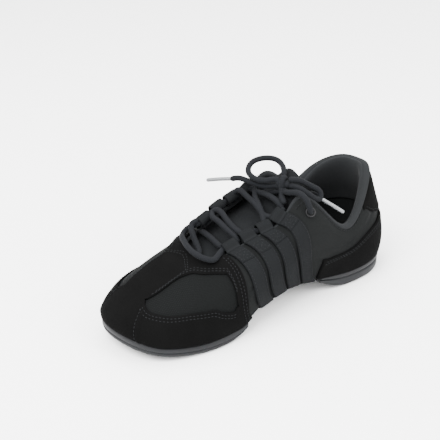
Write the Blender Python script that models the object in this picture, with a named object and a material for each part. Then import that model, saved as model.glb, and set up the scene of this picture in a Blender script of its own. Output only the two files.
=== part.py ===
"""Left dance sneaker with a split sole, laced through webbing loops.

The toe points along -Y, the outer side of the foot is +X and the floor is z = 0.
Every piece of the upper is read from one surface, upper_surface(), which runs
round the shoe from the heel (u = 0) over the outer side, the toe and the inner
side, and from the lower edge (v = 0) up to the collar and throat (v = 1).
"""

from collections import namedtuple

import bmesh
import bpy
import numpy as np
from mathutils import Vector

# Sizes of the last
LENGTH = 0.253
BALL_WIDTH = 0.094
HEEL_HEIGHT = 0.086
ANKLE_HEIGHT = 0.052
THROAT_HEIGHT = 0.088
VAMP_HEIGHT = 0.056

# Sizes of the sole
FORE_SOLE = 0.009
TOE_SPRING = 0.009
ARCH_RISE = 0.0195
HEEL_SOLE = 0.013
SOLE_EDGE = 0.0014
FORE_SOLE_LENGTH = 0.0884
ARCH_LENGTH = 0.0775

# Thicknesses and clearances
WALL = 0.0022
GAP = 0.0003
OVERLAY_GAP = 0.0007
SUEDE = 0.0012
BASE = 0.0022
INSOLE = 0.0035
TONGUE = 0.0030
TONGUE_LENGTH = 0.0225
PAD = 0.0050
WEBBING = 0.0013
WEBBING_WIDTH = 0.0130
WEBBING_PITCH = 0.0147
LACE = 0.0044
AGLET = 0.0040

HALF_LENGTH = LENGTH / 2
HALF_WIDTH = BALL_WIDTH / 2

# One row for each profile of the upper, from the heel round by the outer side.
# Along and out are shares of half the length and half the ball width. Rise,
# flare, spread and drop are the shares of the profile's own height that shape it.
Profile = namedtuple(
    "Profile", "name foot_along foot_out top_along top_out top_up rise flare spread drop"
)
PROFILES = (
    Profile("heel", 0.955, 0.00, 0.87, 0.00, HEEL_HEIGHT, 0.30, 0.10, 0.08, 0.40),
    Profile("heel corner", 0.89, 0.45, 0.82, 0.36, 0.97 * HEEL_HEIGHT, 0.30, 0.09, 0.09, 0.40),
    Profile("heel side", 0.74, 0.69, 0.68, 0.62, 0.73 * HEEL_HEIGHT, 0.32, 0.08, 0.10, 0.38),
    Profile("ankle", 0.54, 0.73, 0.555, 0.70, ANKLE_HEIGHT, 0.34, 0.08, 0.10, 0.34),
    Profile("quarter", 0.33, 0.70, 0.42, 0.67, 1.24 * ANKLE_HEIGHT, 0.34, 0.12, 0.22, 0.30),
    Profile("throat top", 0.13, 0.73, 0.25, 0.52, 0.98 * THROAT_HEIGHT, 0.34, 0.12, 0.30, 0.22),
    Profile("throat", -0.07, 0.82, 0.10, 0.53, 0.82 * THROAT_HEIGHT, 0.34, 0.10, 0.32, 0.22),
    Profile("throat low", -0.27, 0.93, -0.06, 0.50, 0.74 * THROAT_HEIGHT, 0.36, 0.08, 0.36, 0.22),
    Profile("ball", -0.47, 1.00, -0.22, 0.45, 0.67 * THROAT_HEIGHT, 0.40, 0.06, 0.40, 0.20),
    Profile("toe side", -0.67, 0.94, -0.35, 0.37, 0.96 * VAMP_HEIGHT, 0.43, 0.05, 0.48, 0.16),
    Profile("toe corner", -0.87, 0.66, -0.41, 0.20, 0.97 * VAMP_HEIGHT, 0.44, 0.05, 0.62, 0.14),
    Profile("toe", -0.965, -0.03, -0.42, -0.02, VAMP_HEIGHT, 0.44, 0.05, 0.66, 0.13),
    Profile("inner toe corner", -0.91, -0.55, -0.41, -0.22, 1.01 * VAMP_HEIGHT, 0.39, 0.05, 0.55, 0.15),
    Profile("inner toe side", -0.74, -0.84, -0.36, -0.37, 1.03 * VAMP_HEIGHT, 0.37, 0.06, 0.41, 0.18),
    Profile("inner ball", -0.52, -0.94, -0.22, -0.45, 0.71 * THROAT_HEIGHT, 0.38, 0.07, 0.38, 0.20),
    Profile("inner throat low", -0.30, -0.86, -0.06, -0.50, 0.78 * THROAT_HEIGHT, 0.36, 0.10, 0.36, 0.22),
    Profile("inner throat", -0.07, -0.70, 0.10, -0.52, 0.86 * THROAT_HEIGHT, 0.34, 0.14, 0.34, 0.22),
    Profile("inner throat top", 0.13, -0.62, 0.25, -0.52, 1.00 * THROAT_HEIGHT, 0.34, 0.16, 0.32, 0.22),
    Profile("inner quarter", 0.33, -0.62, 0.42, -0.66, 1.44 * ANKLE_HEIGHT, 0.34, 0.14, 0.22, 0.30),
    Profile("inner ankle", 0.54, -0.66, 0.555, -0.72, 1.28 * ANKLE_HEIGHT, 0.34, 0.12, 0.12, 0.34),
    Profile("inner heel side", 0.74, -0.65, 0.69, -0.68, 0.88 * HEEL_HEIGHT, 0.32, 0.09, 0.10, 0.38),
    Profile("inner heel corner", 0.89, -0.43, 0.83, -0.41, 0.98 * HEEL_HEIGHT, 0.30, 0.09, 0.09, 0.40),
)
TURN = len(PROFILES)
ROW = {row.name: index for index, row in enumerate(PROFILES)}

# Height of the upper's lower edge above the floor, along the shoe
FootHeight = namedtuple("FootHeight", "along up")
FOOT_HEIGHTS = (
    FootHeight(-1.02, 1.00 * FORE_SOLE + TOE_SPRING),
    FootHeight(-0.80, 1.00 * FORE_SOLE + 0.36 * TOE_SPRING),
    FootHeight(-0.55, 0.95 * FORE_SOLE + 0.02 * TOE_SPRING),
    FootHeight(-0.34, 0.95 * FORE_SOLE),
    FootHeight(-0.14, 0.86 * ARCH_RISE),
    FootHeight(0.10, 1.00 * ARCH_RISE),
    FootHeight(0.31, 0.52 * ARCH_RISE + 0.42 * HEEL_SOLE),
    FootHeight(0.60, 0.97 * HEEL_SOLE),
    FootHeight(1.02, 1.08 * HEEL_SOLE),
)


def periodic_spline(values, at):
    """A smooth closed curve through evenly spaced values, read at the places at."""
    values = np.asarray(values, float)
    count = len(values)
    matrix = 4 * np.eye(count) + np.eye(count, k=1) + np.eye(count, k=-1)
    matrix[0, -1] = matrix[-1, 0] = 1
    around = np.roll(values, -1, 0) - 2 * values + np.roll(values, 1, 0)
    bend = np.linalg.solve(matrix, 6 * around)
    at = np.mod(np.asarray(at, float), count)
    low = np.floor(at).astype(int) % count
    high = (low + 1) % count
    t = at - np.floor(at)
    s = 1 - t
    if values.ndim > 1:
        t, s = t[..., None], s[..., None]
    return (
        s * values[low]
        + t * values[high]
        + ((s**3 - s) * bend[low] + (t**3 - t) * bend[high]) / 6
    )


def smooth_through(knots, values, at):
    """A smooth open curve through values given at knots, with no overshoot."""
    knots, values = np.asarray(knots, float), np.asarray(values, float)
    at = np.clip(at, knots[0], knots[-1])
    step, rise = np.diff(knots), np.diff(values) / np.diff(knots)
    same = rise[1:] * rise[:-1] > 0
    weight = 3 * (step[1:] + step[:-1])
    divided = (2 * step[1:] + step[:-1]) / np.where(same, rise[:-1], 1) + (
        step[1:] + 2 * step[:-1]
    ) / np.where(same, rise[1:], 1)
    slope = np.concatenate([[0.0], np.where(same, weight / divided, 0.0), [0.0]])
    low = np.clip(np.searchsorted(knots, at, side="right") - 1, 0, len(step) - 1)
    t = (at - knots[low]) / step[low]
    return (
        values[low] * (1 + 2 * t) * (1 - t) ** 2
        + values[low + 1] * (3 - 2 * t) * t**2
        + step[low] * (slope[low] * t * (1 - t) ** 2 - slope[low + 1] * (1 - t) * t**2)
    )


def foot_height(along):
    """The lower edge of the upper above the floor, at a place along the shoe."""
    rows = np.array(FOOT_HEIGHTS)
    return smooth_through(rows[:, 0], rows[:, 1], np.asarray(along) / HALF_LENGTH)


def foot_line(u):
    """The lower edge of the upper, round the shoe."""
    shares = [(row.foot_out, row.foot_along) for row in PROFILES]
    plan = periodic_spline(shares, u) * (HALF_WIDTH, HALF_LENGTH)
    return np.concatenate([plan, foot_height(plan[..., 1])[..., None]], axis=-1)


def outward(u):
    """The level direction out of the shoe, square to its lower edge."""
    step = foot_line(np.asarray(u) + 0.05) - foot_line(np.asarray(u) - 0.05)
    out = np.stack([step[..., 1], -step[..., 0], 0 * step[..., 0]], axis=-1)
    return -out / np.linalg.norm(out, axis=-1, keepdims=True)


def plain_surface(u, v):
    """The upper's outer face, with no offset."""
    columns = [
        (row.top_out * HALF_WIDTH, row.top_along * HALF_LENGTH, row.top_up)
        + (row.rise, row.flare, row.spread, row.drop)
        for row in PROFILES
    ]
    read = periodic_spline(columns, u)
    foot, top = foot_line(u), read[..., :3]
    height = (top - foot)[..., 2:]
    rise, flare, spread, drop = (read[..., k : k + 1] * height for k in range(3, 7))
    out, up = outward(u), np.array((0.0, 0.0, 1.0))
    low = foot + rise * up + flare * out
    high = top + spread * out - drop * up
    v = np.asarray(v, float)[..., None]
    w = 1 - v
    return w**3 * foot + 3 * w**2 * v * low + 3 * w * v**2 * high + v**3 * top


def surface_slopes(u, v):
    """How fast the outer face moves with u and with v."""
    u, v = np.broadcast_arrays(np.asarray(u, float), np.asarray(v, float))
    by_u = (plain_surface(u + 0.02, v) - plain_surface(u - 0.02, v)) / 0.04
    by_v = (plain_surface(u, v + 0.01) - plain_surface(u, v - 0.01)) / 0.02
    return by_u, by_v


def surface_normal(u, v):
    """The direction out of the outer face."""
    by_u, by_v = surface_slopes(u, v)
    normal = np.cross(by_v, by_u)
    return normal / np.linalg.norm(normal, axis=-1, keepdims=True)


def upper_surface(u, v, offset=0.0):
    """A point of the upper's face, offset out of it."""
    u, v = np.broadcast_arrays(np.asarray(u, float), np.asarray(v, float))
    return plain_surface(u, v) + np.asarray(offset)[..., None] * surface_normal(u, v)


def material(name, colour, roughness, metallic=0.0):
    made = bpy.data.materials.new(name)
    made.use_nodes = True
    shader = made.node_tree.nodes["Principled BSDF"]
    shader.inputs["Base Color"].default_value = (*colour, 1.0)
    shader.inputs["Roughness"].default_value = roughness
    shader.inputs["Metallic"].default_value = metallic
    return made


def add_mesh(name, bm, finish):
    """Links the bmesh as an object with its normals outwards and shaded smooth."""
    bmesh.ops.recalc_face_normals(bm, faces=bm.faces)
    mesh = bpy.data.meshes.new(name)
    bm.to_mesh(mesh)
    bm.free()
    mesh.shade_smooth()
    mesh.materials.append(finish)
    made = bpy.data.objects.new(name, mesh)
    bpy.context.scene.collection.objects.link(made)
    return made


def grid(across, along, place):
    """A bmesh grid whose corners are set by place(a, b), both from 0 to 1."""
    bm = bmesh.new()
    share = bm.verts.layers.float_vector.new("share")
    bmesh.ops.create_grid(bm, x_segments=across, y_segments=along, size=0.5)
    shares = np.array([(v.co.x + 0.5, v.co.y + 0.5) for v in bm.verts])
    for vertex, (a, b), spot in zip(bm.verts, shares, place(shares[:, 0], shares[:, 1])):
        vertex.co = spot
        vertex[share] = (a, b, 0.0)
    return bm


def weld(bm):
    bmesh.ops.remove_doubles(bm, verts=bm.verts, dist=1e-6)


def close_ends(bm):
    """Fills each open rim, so that a tube of sections is a solid."""
    rims = [edge for edge in bm.edges if edge.is_boundary]
    bmesh.ops.holes_fill(bm, edges=rims, sides=0)


def patch(name, finish, across, along, place, thickness, keep=None):
    """A wall of even thickness under the face place(a, b, depth), with closed rims.

    Where keep is given, only the faces for whose middle keep(a, b) holds are built.
    """
    bm = grid(across, along, lambda a, b: place(a, b, 0.0))
    share = bm.verts.layers.float_vector["share"]
    if keep:
        middles = {f: sum((v[share] for v in f.verts), Vector()) / len(f.verts) for f in bm.faces}
        gone = [f for f, middle in middles.items() if not keep(middle.x, middle.y)]
        bmesh.ops.delete(bm, geom=gone, context="FACES")
    weld(bm)
    rims = [(edge.verts[0], edge.verts[1]) for edge in bm.edges if edge.is_boundary]
    outer = list(bm.verts)
    copies = bmesh.ops.duplicate(bm, geom=outer + bm.edges[:] + bm.faces[:])["vert_map"]
    shares = np.array([vertex[share] for vertex in outer])
    for vertex, spot in zip(outer, place(shares[:, 0], shares[:, 1], -thickness)):
        copies[vertex].co = spot
    for first, second in rims:
        bm.faces.new((first, second, copies[second], copies[first]))
    return add_mesh(name, bm, finish)


def tube(name, points, finish, diameter=LACE, steps=None):
    """A round cord along a smooth curve through the points."""
    route = spread_points(points, steps)
    curve = bpy.data.curves.new(name, "CURVE")
    curve.dimensions = "3D"
    curve.bevel_depth = diameter / 2
    curve.bevel_resolution = 2
    curve.use_fill_caps = True
    spline = curve.splines.new("POLY")
    spline.points.add(len(route) - 1)
    for point, spot in zip(spline.points, route):
        point.co = (*spot, 1.0)
    curve.materials.append(finish)
    made = bpy.data.objects.new(name, curve)
    bpy.context.scene.collection.objects.link(made)
    return made


def spread_points(points, steps):
    """Evenly spaced points of a smooth open curve through the given ones."""
    points = np.asarray(points, float)
    chord = np.sqrt(np.linalg.norm(np.diff(points, axis=0), axis=1))
    knots = np.concatenate([[0.0], np.cumsum(chord)])
    count = len(points)
    step = np.diff(knots)
    matrix, known = np.eye(count), np.zeros((count, 3))
    for k in range(1, count - 1):
        matrix[k, k - 1 : k + 2] = step[k - 1], 2 * (step[k - 1] + step[k]), step[k]
        slopes = np.diff(points[k - 1 : k + 2], axis=0) / step[k - 1 : k + 1, None]
        known[k] = 6 * (slopes[1] - slopes[0])
    bend = np.linalg.solve(matrix, known)

    def read(at):
        low = np.clip(np.searchsorted(knots, at, side="right") - 1, 0, count - 2)
        width = step[low][:, None]
        t = ((at - knots[low]) / step[low])[:, None]
        s = 1 - t
        curve = s * points[low] + t * points[low + 1]
        return curve + width**2 * ((s**3 - s) * bend[low] + (t**3 - t) * bend[low + 1]) / 6

    fine = read(np.linspace(0, knots[-1], 40 * count))
    run = np.concatenate([[0.0], np.cumsum(np.linalg.norm(np.diff(fine, axis=0), axis=1))])
    if steps is None:
        steps = max(3, round(run[-1] / (2 * LACE)))
    even = np.linspace(0, run[-1], steps + 1)
    return np.stack([np.interp(even, run, fine[:, k]) for k in range(3)], axis=1)


def clear_scene():
    for existing in list(bpy.data.objects):
        bpy.data.objects.remove(existing)


# Soles and what lies on them

def side_u(along, side):
    """The place round the shoe where one side of its lower edge lies at y."""
    half = TURN // 2
    u = np.linspace(0, half, 400) if side > 0 else np.linspace(TURN, half, 400)
    line = foot_line(u)
    order = np.argsort(line[:, 1])
    return np.interp(along, line[order, 1], u[order])


def side_reach(along, side, margin=0.0):
    """How far the lower edge of the upper lies from the middle plane, on one side."""
    half = TURN // 2
    u = np.linspace(0, half, 400) if side > 0 else np.linspace(TURN, half, 400)
    line = foot_line(u) + margin * outward(u)
    order = np.argsort(line[:, 1])
    return np.interp(along, line[order, 1], line[order, 0])


def end_reach(margin=0.0):
    """The lowest and highest y of the lower edge, with a margin round it."""
    u = np.linspace(0, TURN, 800)
    line = foot_line(u) + margin * outward(u)
    return line[:, 1].min(), line[:, 1].max()


# A row for each step of the sole's section, as shares of its height, and the
# depth of the step from the sole's edge in metres.
Step = namedtuple("Step", "up inset")
FORE_STEPS = (
    Step(1.00, 0.0010),
    Step(0.86, 0.0002),
    Step(0.55, 0.0000),
    Step(0.47, 0.0008),
    Step(0.39, 0.0000),
    Step(0.16, 0.0006),
    Step(0.00, 0.0030),
)
HEEL_STEPS = (
    Step(1.00, 0.0006),
    Step(0.90, 0.0000),
    Step(0.74, 0.0000),
    Step(0.68, 0.0018),
    Step(0.60, 0.0018),
    Step(0.54, 0.0004),
    Step(0.18, 0.0004),
    Step(0.00, 0.0026),
)


# Flex grooves across the tread, as shares of the sole's length from its tip
Groove = namedtuple("Groove", "middle width depth")
FORE_GROOVES = (
    Groove(0.26, 0.0030, 0.0014),
    Groove(0.44, 0.0030, 0.0014),
    Groove(0.80, 0.0030, 0.0014),
)
HEEL_GROOVES = (Groove(0.22, 0.0030, 0.0016), Groove(0.50, 0.0030, 0.0016))
GROOVE_SLOPE = 0.0004


def groove_depth(along, length, grooves):
    """How deep the tread is cut at a distance from the sole's tip."""
    depth = np.zeros_like(along)
    for groove in grooves:
        off = np.abs(along - groove.middle * length)
        share = np.clip((groove.width / 2 - off) / GROOVE_SLOPE, 0, 1)
        depth = np.maximum(depth, groove.depth * share)
    return depth


def sole_stations(length, count, grooves):
    """Distances from the sole's rounded tip, close together there and at the grooves."""
    even = length * (1 - np.cos(0.5 * np.pi * np.linspace(0, 1, count)))
    edges = [0.92 * length, 0.96 * length]
    for groove in grooves:
        middle, half = groove.middle * length, groove.width / 2
        edges += [middle - half, middle - half + GROOVE_SLOPE]
        edges += [middle + half - GROOVE_SLOPE, middle + half]
        even = even[np.abs(even - middle) > groove.width]
    return np.sort(np.concatenate([even, edges]))


def sole_block(name, finish, tip, length, count, steps, lower, grooves):
    """A sole lofted between sections that start at the rounded tip of the shoe."""
    corners = len(steps)
    rows = np.array(steps)
    loop_up = np.concatenate([rows[:, 0], rows[::-1, 0]])
    loop_in = np.concatenate([rows[:, 1], rows[::-1, 1]])
    onto = np.concatenate([np.ones(corners), -np.ones(corners)])
    stations = sole_stations(length, count, grooves)

    def place(a, b):
        corner = (a * 2 * corners).round().astype(int) % (2 * corners)
        from_tip = stations[(b * (len(stations) - 1)).round().astype(int)]
        y = tip - np.sign(tip) * from_tip
        u = np.where(onto[corner] > 0, side_u(y, 1), side_u(y, -1))
        spot = foot_line(u) + (SOLE_EDGE - loop_in[corner])[:, None] * outward(u)
        under = lower(y) + groove_depth(from_tip, length, grooves) * (loop_up[corner] == 0)
        top = foot_height(spot[:, 1]) - GAP
        spot[:, 2] = under + (top - under) * loop_up[corner]
        return spot

    bm = grid(2 * corners, len(stations) - 1, place)
    weld(bm)
    close_ends(bm)
    return add_mesh(name, bm, finish)


def heel_sole_start():
    """Where the heel sole begins: the open arch lies between it and the forefoot sole."""
    return end_reach()[0] + FORE_SOLE_LENGTH + ARCH_LENGTH


def fore_bottom(y):
    """The tread line of the forefoot: flat under the ball, sprung at the toe."""
    share = np.clip((-0.48 * HALF_LENGTH - y) / (0.52 * HALF_LENGTH), 0, 1)
    tail = np.clip((y + 0.30 * HALF_LENGTH) / (0.14 * HALF_LENGTH), 0, 1)
    return TOE_SPRING * share**1.7 + 0.45 * FORE_SOLE * tail**1.6


def heel_bottom(y):
    """The tread line of the heel: flat, with its front edge drawn up."""
    start, ramp = heel_sole_start(), 0.22 * HALF_LENGTH
    share = np.clip((start + ramp - y) / ramp, 0, 1)
    back = np.clip((y - 0.90 * HALF_LENGTH) / (0.10 * HALF_LENGTH), 0, 1)
    return 0.78 * HEEL_SOLE * share**1.8 + 0.12 * HEEL_SOLE * back**2


def make_soles(rubber):
    toe, heel = end_reach()
    fore_length, heel_length = FORE_SOLE_LENGTH, heel - heel_sole_start()
    sole_block("forefoot_sole", rubber, toe, fore_length, 16, FORE_STEPS, fore_bottom, FORE_GROOVES)
    sole_block("heel_sole", rubber, heel, heel_length, 14, HEEL_STEPS, heel_bottom, HEEL_GROOVES)


def slab(name, finish, below, thickness, margin, stations=34):
    """A sheet that fills the shoe's outline, its lower face at foot height + below."""
    toe, heel = end_reach(-margin)

    def place(a, b):
        side = np.array((1.0, 1.0, -1.0, -1.0, 1.0))[(a * 4).round().astype(int)]
        up = np.array((0.0, 1.0, 1.0, 0.0, 0.0))[(a * 4).round().astype(int)]
        y = toe + 0.0004 + (heel - toe - 0.0008) * (1 - np.cos(np.pi * b)) / 2
        x = np.where(side > 0, side_reach(y, 1, -margin), side_reach(y, -1, -margin))
        return np.stack([x, y, foot_height(y) + below + up * thickness], axis=1)

    bm = grid(4, stations, place)
    weld(bm)
    close_ends(bm)
    return add_mesh(name, bm, finish)


# Upper, padding and overlays

# A row for each place round the toe suede: the edges of its fabric inset, as
# shares of the way up the upper. The inset is open where they differ.
Inset = namedtuple("Inset", "u low high")
INSET = (
    Inset(6.8, 0.34, 0.34),
    Inset(7.3, 0.34, 0.34),
    Inset(7.5, 0.29, 0.52),
    Inset(7.9, 0.32, 0.67),
    Inset(8.6, 0.40, 0.78),
    Inset(9.2, 0.41, 0.82),
    Inset(9.8, 0.38, 0.82),
    Inset(10.2, 0.37, 0.74),
    Inset(10.45, 0.41, 0.50),
    Inset(10.55, 0.45, 0.45),
    Inset(11.0, 0.45, 0.45),
)
EdgeUp = namedtuple("EdgeUp", "u up")
COUNTER_TOP = (
    EdgeUp(0.0, 0.50),
    EdgeUp(1.3, 0.52),
    EdgeUp(2.1, 0.58),
    EdgeUp(2.9, 0.53),
    EdgeUp(3.6, 0.44),
    EdgeUp(4.1, 0.35),
)
TAB_FOOT = (EdgeUp(0.0, 0.545), EdgeUp(1.0, 0.565), EdgeUp(1.5, 0.70), EdgeUp(1.9, 0.90))
SUEDE_END, SUEDE_LEAN = 6.80, 1.60
SUEDE_START = 0.015
PAD_REACH = 4.3
PadCorner = namedtuple("PadCorner", "up depth")
PAD_SECTION = (
    PadCorner(0.52, 0.00),
    PadCorner(0.75, 0.00),
    PadCorner(0.97, 0.00),
    PadCorner(1.02, 0.16),
    PadCorner(1.04, 0.55),
    PadCorner(0.99, 0.95),
    PadCorner(0.75, 0.85),
    PadCorner(0.52, 0.20),
)


def toe_side(u):
    """The same place on the outer half of the shoe: the toe suede is even-sided."""
    toe = ROW["toe"]
    return toe - abs(u - toe)


def make_upper(fabric):
    def place(a, b, depth):
        return upper_surface(a * TURN, b, depth)

    return patch("upper", fabric, 3 * TURN, 10, place, WALL)


def make_collar_padding(jersey):
    corners = np.array(PAD_SECTION + PAD_SECTION[:1])

    def place(a, b):
        corner = (a * len(PAD_SECTION)).round().astype(int)
        u = (2 * b - 1) * PAD_REACH
        depth = WALL + GAP + PAD * corners[corner, 1]
        return upper_surface(u, corners[corner, 0], -depth)

    bm = grid(len(PAD_SECTION), 26, place)
    weld(bm)
    close_ends(bm)
    return add_mesh("collar_padding", bm, jersey)


def make_toe_suede(suede):
    toe, rows = ROW["toe"], np.array(INSET)
    low_rows, high_rows = 5, 6
    all_rows = low_rows + high_rows + 1

    def place(a, b, depth):
        flat = SUEDE_END + a * 2 * (toe - SUEDE_END)
        side = toe_side(flat)
        low, high = (np.interp(side, rows[:, 0], rows[:, k]) for k in (1, 2))
        row = (b * all_rows).round()
        lower = SUEDE_START + (low - SUEDE_START) * row / low_rows
        upper = high + (1 - high) * (row - low_rows - 1) / high_rows
        v = np.where(row <= low_rows, lower, upper)
        lean = SUEDE_LEAN * v * np.clip(1 - (side - SUEDE_END) / 1.7, 0, 1)
        u = flat + np.where(flat < toe, lean, -lean)
        return upper_surface(u, v, OVERLAY_GAP + SUEDE + depth)

    def keep(a, b):
        return abs(b * all_rows - low_rows - 0.5) > 0.4

    return patch("toe_suede", suede, 38, all_rows, place, SUEDE, keep)


def make_heel_suede(suede):
    counter, tab = np.array(COUNTER_TOP), np.array(TAB_FOOT)

    def counter_place(a, b, depth):
        u = (2 * a - 1) * counter[-1, 0]
        high = np.interp(abs(u), counter[:, 0], counter[:, 1])
        v = SUEDE_START + b * (high - SUEDE_START)
        return upper_surface(u, v, OVERLAY_GAP + SUEDE + depth)

    def tab_place(a, b, depth):
        u = (2 * a - 1) * tab[-1, 0]
        low = np.interp(abs(u), tab[:, 0], tab[:, 1])
        return upper_surface(u, low + b * (1 - low), OVERLAY_GAP + SUEDE + depth)

    patch("heel_counter", suede, 24, 4, counter_place, SUEDE)
    patch("heel_tab", suede, 12, 4, tab_place, SUEDE)


# Tongue

TONGUE_FOOT, TONGUE_HEAD = 1.75, 5.5
TONGUE_DEPTH, TONGUE_CROWN = 0.0070, 0.0030
TONGUE_TUCK_DEPTH = WALL + 0.0011
TONGUE_FRONT_DEPTH = WALL + 0.0008
TONGUE_TUCK = 0.12
TONGUE_OPEN = 0.66


def make_tongue(jersey):
    toe = ROW["toe"]
    rows, free_rows = 10, 4
    step = 1 / (rows + free_rows)
    bound = rows * step

    def place(a, b, depth):
        side = 2 * a - 1
        b_laced = np.clip(b / bound, 0, 1)
        reach = TONGUE_FOOT + (TONGUE_HEAD - TONGUE_FOOT) * b_laced
        front = b < 0.5 * step
        tuck = TONGUE_TUCK * np.clip((abs(side) - TONGUE_OPEN) / (1 - TONGUE_OPEN), 0, 1)
        v = np.where(front, 0.86, 1 - tuck)
        sunk = TONGUE_TUCK_DEPTH + (TONGUE_DEPTH - TONGUE_TUCK_DEPTH) * (1 - tuck / TONGUE_TUCK)
        sunk = depth - np.where(front, TONGUE_FRONT_DEPTH, sunk)
        outer, inner = toe - reach, toe + reach
        across = np.clip(0.5 + 0.5 * side / TONGUE_OPEN, 0, 1)[:, None]
        crown = TONGUE_CROWN * (1 - np.clip(side / TONGUE_OPEN, -1, 1) ** 2)
        edge_out, edge_in = upper_surface(outer, v, sunk), upper_surface(inner, v, sunk)
        spot = edge_in + (edge_out - edge_in) * across
        spot[:, 2] += crown
        tip = upper_surface(toe - side * reach, v, sunk)
        spot = np.where(front[:, None], tip, spot)
        free = np.clip((b - bound) / (1 - bound), 0, 1)
        round_off = 0.35 * free**2 * side**2
        spot[:, 0] *= 1 - 0.40 * np.clip(2.2 * free, 0, 1) - 0.06 * free**3
        spot[:, 1] += 0.70 * TONGUE_LENGTH * free
        spot[:, 2] += 0.71 * TONGUE_LENGTH * free * (1 - round_off)
        return spot

    return patch("tongue", jersey, 12, rows + free_rows, place, TONGUE)


# Webbing straps with a loop at the top for the lace

STRAP_FOOT_CLEARANCE = 0.0136
STRAP_HEAD_START = -0.281 * HALF_LENGTH
STRAP_HEAD_PITCH = 0.95 * WEBBING_PITCH
STRAP_COUNT = 4
STRAP_TAPER = 0.12
STRAP_TURN_UNDER = 0.008
LOOP_RADIUS = LACE / 2 + WEBBING / 2 + 0.0009
SIDES = {"outer": 1, "inner": -1}
LOOP_LIFT = {1: np.radians(22), -1: np.radians(50)}

# How far each strap's loop stands off the throat's edge, from the toe to the heel
LoopReach = namedtuple("LoopReach", "outer inner")
LOOP_REACHES = (
    LoopReach(0.0042, 0.0085),
    LoopReach(0.0042, 0.0085),
    LoopReach(0.0042, 0.0078),
    LoopReach(0.0042, 0.0050),
)


def u_beside(y, v, side):
    """The place round the shoe where the upper, at height v, lies at y."""
    half = ROW["toe"]
    u = np.linspace(2.0, half - 1.0, 300)
    u = u if side > 0 else TURN - u
    line = upper_surface(u, np.full(u.shape, v))
    return np.interp(-y, -line[:, 1], u)


def strap_line(number, side):
    """The strap's place round the shoe at its foot and at its head."""
    arch_start = end_reach()[0] + FORE_SOLE_LENGTH
    foot = arch_start + STRAP_FOOT_CLEARANCE + (number - 0.5) * WEBBING_PITCH
    head = STRAP_HEAD_START + (number - 0.5) * STRAP_HEAD_PITCH
    return u_beside(foot, 0.0, side), u_beside(head, 1.0, side)


def unit(vector):
    return vector / np.linalg.norm(vector, axis=-1, keepdims=True)


def loop_frame(number, side):
    """Centre and directions of a strap's loop: onward, up out of it, and along the shoe."""
    _, head = strap_line(number, side)
    edge = upper_surface(head, 1.0)
    by_u, by_v = surface_slopes(head, 1.0)
    along = unit(by_u) * (1 if by_u[1] > 0 else -1)
    normal = surface_normal(head, 1.0)
    onward = unit(by_v - (by_v @ along) * along)
    angle = LOOP_LIFT[side]
    lift = np.cos(angle) * onward + np.sin(angle) * normal
    out = np.cos(angle) * normal - np.sin(angle) * onward
    mid = edge + (GAP + WEBBING / 2) * normal
    return mid, lift, out, along


def loop_centre(number, side):
    mid, onward, out, _ = loop_frame(number, side)
    reach = LOOP_REACHES[number - 1]
    return mid + (reach.outer if side > 0 else reach.inner) * onward - LOOP_RADIUS * out


def make_strap(name, webbing, number, side):
    foot_u, head_u = strap_line(number, side)
    _, onward, out, along = loop_frame(number, side)
    centre = loop_centre(number, side)
    under, rise, bend = 2, 8, 8
    steps = under + rise + bend
    width_sign = 1 if side > 0 else -1

    def place(a, b, depth):
        step = (b * steps).round()
        v = np.clip((step - under) / rise, 0, 1)
        wide = (a - 0.5) * WEBBING_WIDTH * (1 - STRAP_TAPER * v)
        u = foot_u + (head_u - foot_u) * v
        by_u, _ = surface_slopes(u, v)
        u = u - width_sign * wide / np.linalg.norm(by_u, axis=-1)
        proud = OVERLAY_GAP + WEBBING + depth
        side_face = upper_surface(u, v, proud)
        edge = foot_line(u)
        tucked = np.clip((under - step) / under, 0, 1) * STRAP_TURN_UNDER
        reach = np.where(step == under, proud, -tucked)
        low = edge + reach[:, None] * outward(u)
        low[:, 2] = foot_height(low[:, 1]) - proud
        turn = np.clip((step - under - rise) / bend, 0, 1)
        angle = np.pi / 2 - turn * 1.45 * np.pi
        radius = LOOP_RADIUS + WEBBING / 2 + depth
        bent = (
            centre
            + radius * (np.cos(angle)[:, None] * onward + np.sin(angle)[:, None] * out)
            + wide[:, None] * along
        )
        spot = np.where((step <= under)[:, None], low, side_face)
        return np.where((step > under + rise)[:, None], bent, spot)

    return patch(name, webbing, 2, steps, place, WEBBING)


def make_straps(webbing):
    for side_name, side in SIDES.items():
        for number in range(1, STRAP_COUNT + 1):
            make_strap(f"strap_{side_name}_{number}", webbing, number, side)


# Lace: rows over the tongue, then the bow. Points are in millimetres, before the
# shoe is centred, chosen by hand from toe to heel and from the inner side outwards.

MM = 0.001
LACE_ROWS = {
    "lace_bar": [
        [(-18.5, -48, 61.2), (-12, -52.5, 63), (-2, -55.5, 62.5), (9, -56.5, 61.3), (17.5, -53.5, 59.3), (21, -48.5, 56.8)]
    ],
    "lace_front_inner": [[(-15.5, -42, 69.5), (-11, -44.5, 66), (-4, -45.5, 59.5), (3, -46, 54.8)]],
    "lace_front_outer": [[(-13.5, -33.5, 61), (-6, -34, 61.5), (3, -34, 60.5), (10.5, -33.5, 59)]],
    "lace_row_front": [
        [(-10.4, -26.2, 73), (-5, -25.5, 71.8), (3, -24, 68.5), (11.5, -21.7, 64)],
        [(-12, -21, 76.3), (-6, -19.8, 75), (3, -19.8, 70.8), (11.5, -21, 65.5)],
    ],
    "lace_row_back": [
        [(-16, 1.5, 85), (-8, 3.5, 82.5), (3, 5, 78), (13.5, 5.5, 73.5)],
        [(-14.8, 14.5, 83), (-7, 10.8, 81), (2, 7, 79), (9, 5.5, 76)],
    ],
    "lace_under": [[(-3, 15.5, 83), (3, 16, 83.5), (9, 16.5, 83), (13.5, 17, 81.5)]],
}
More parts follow.
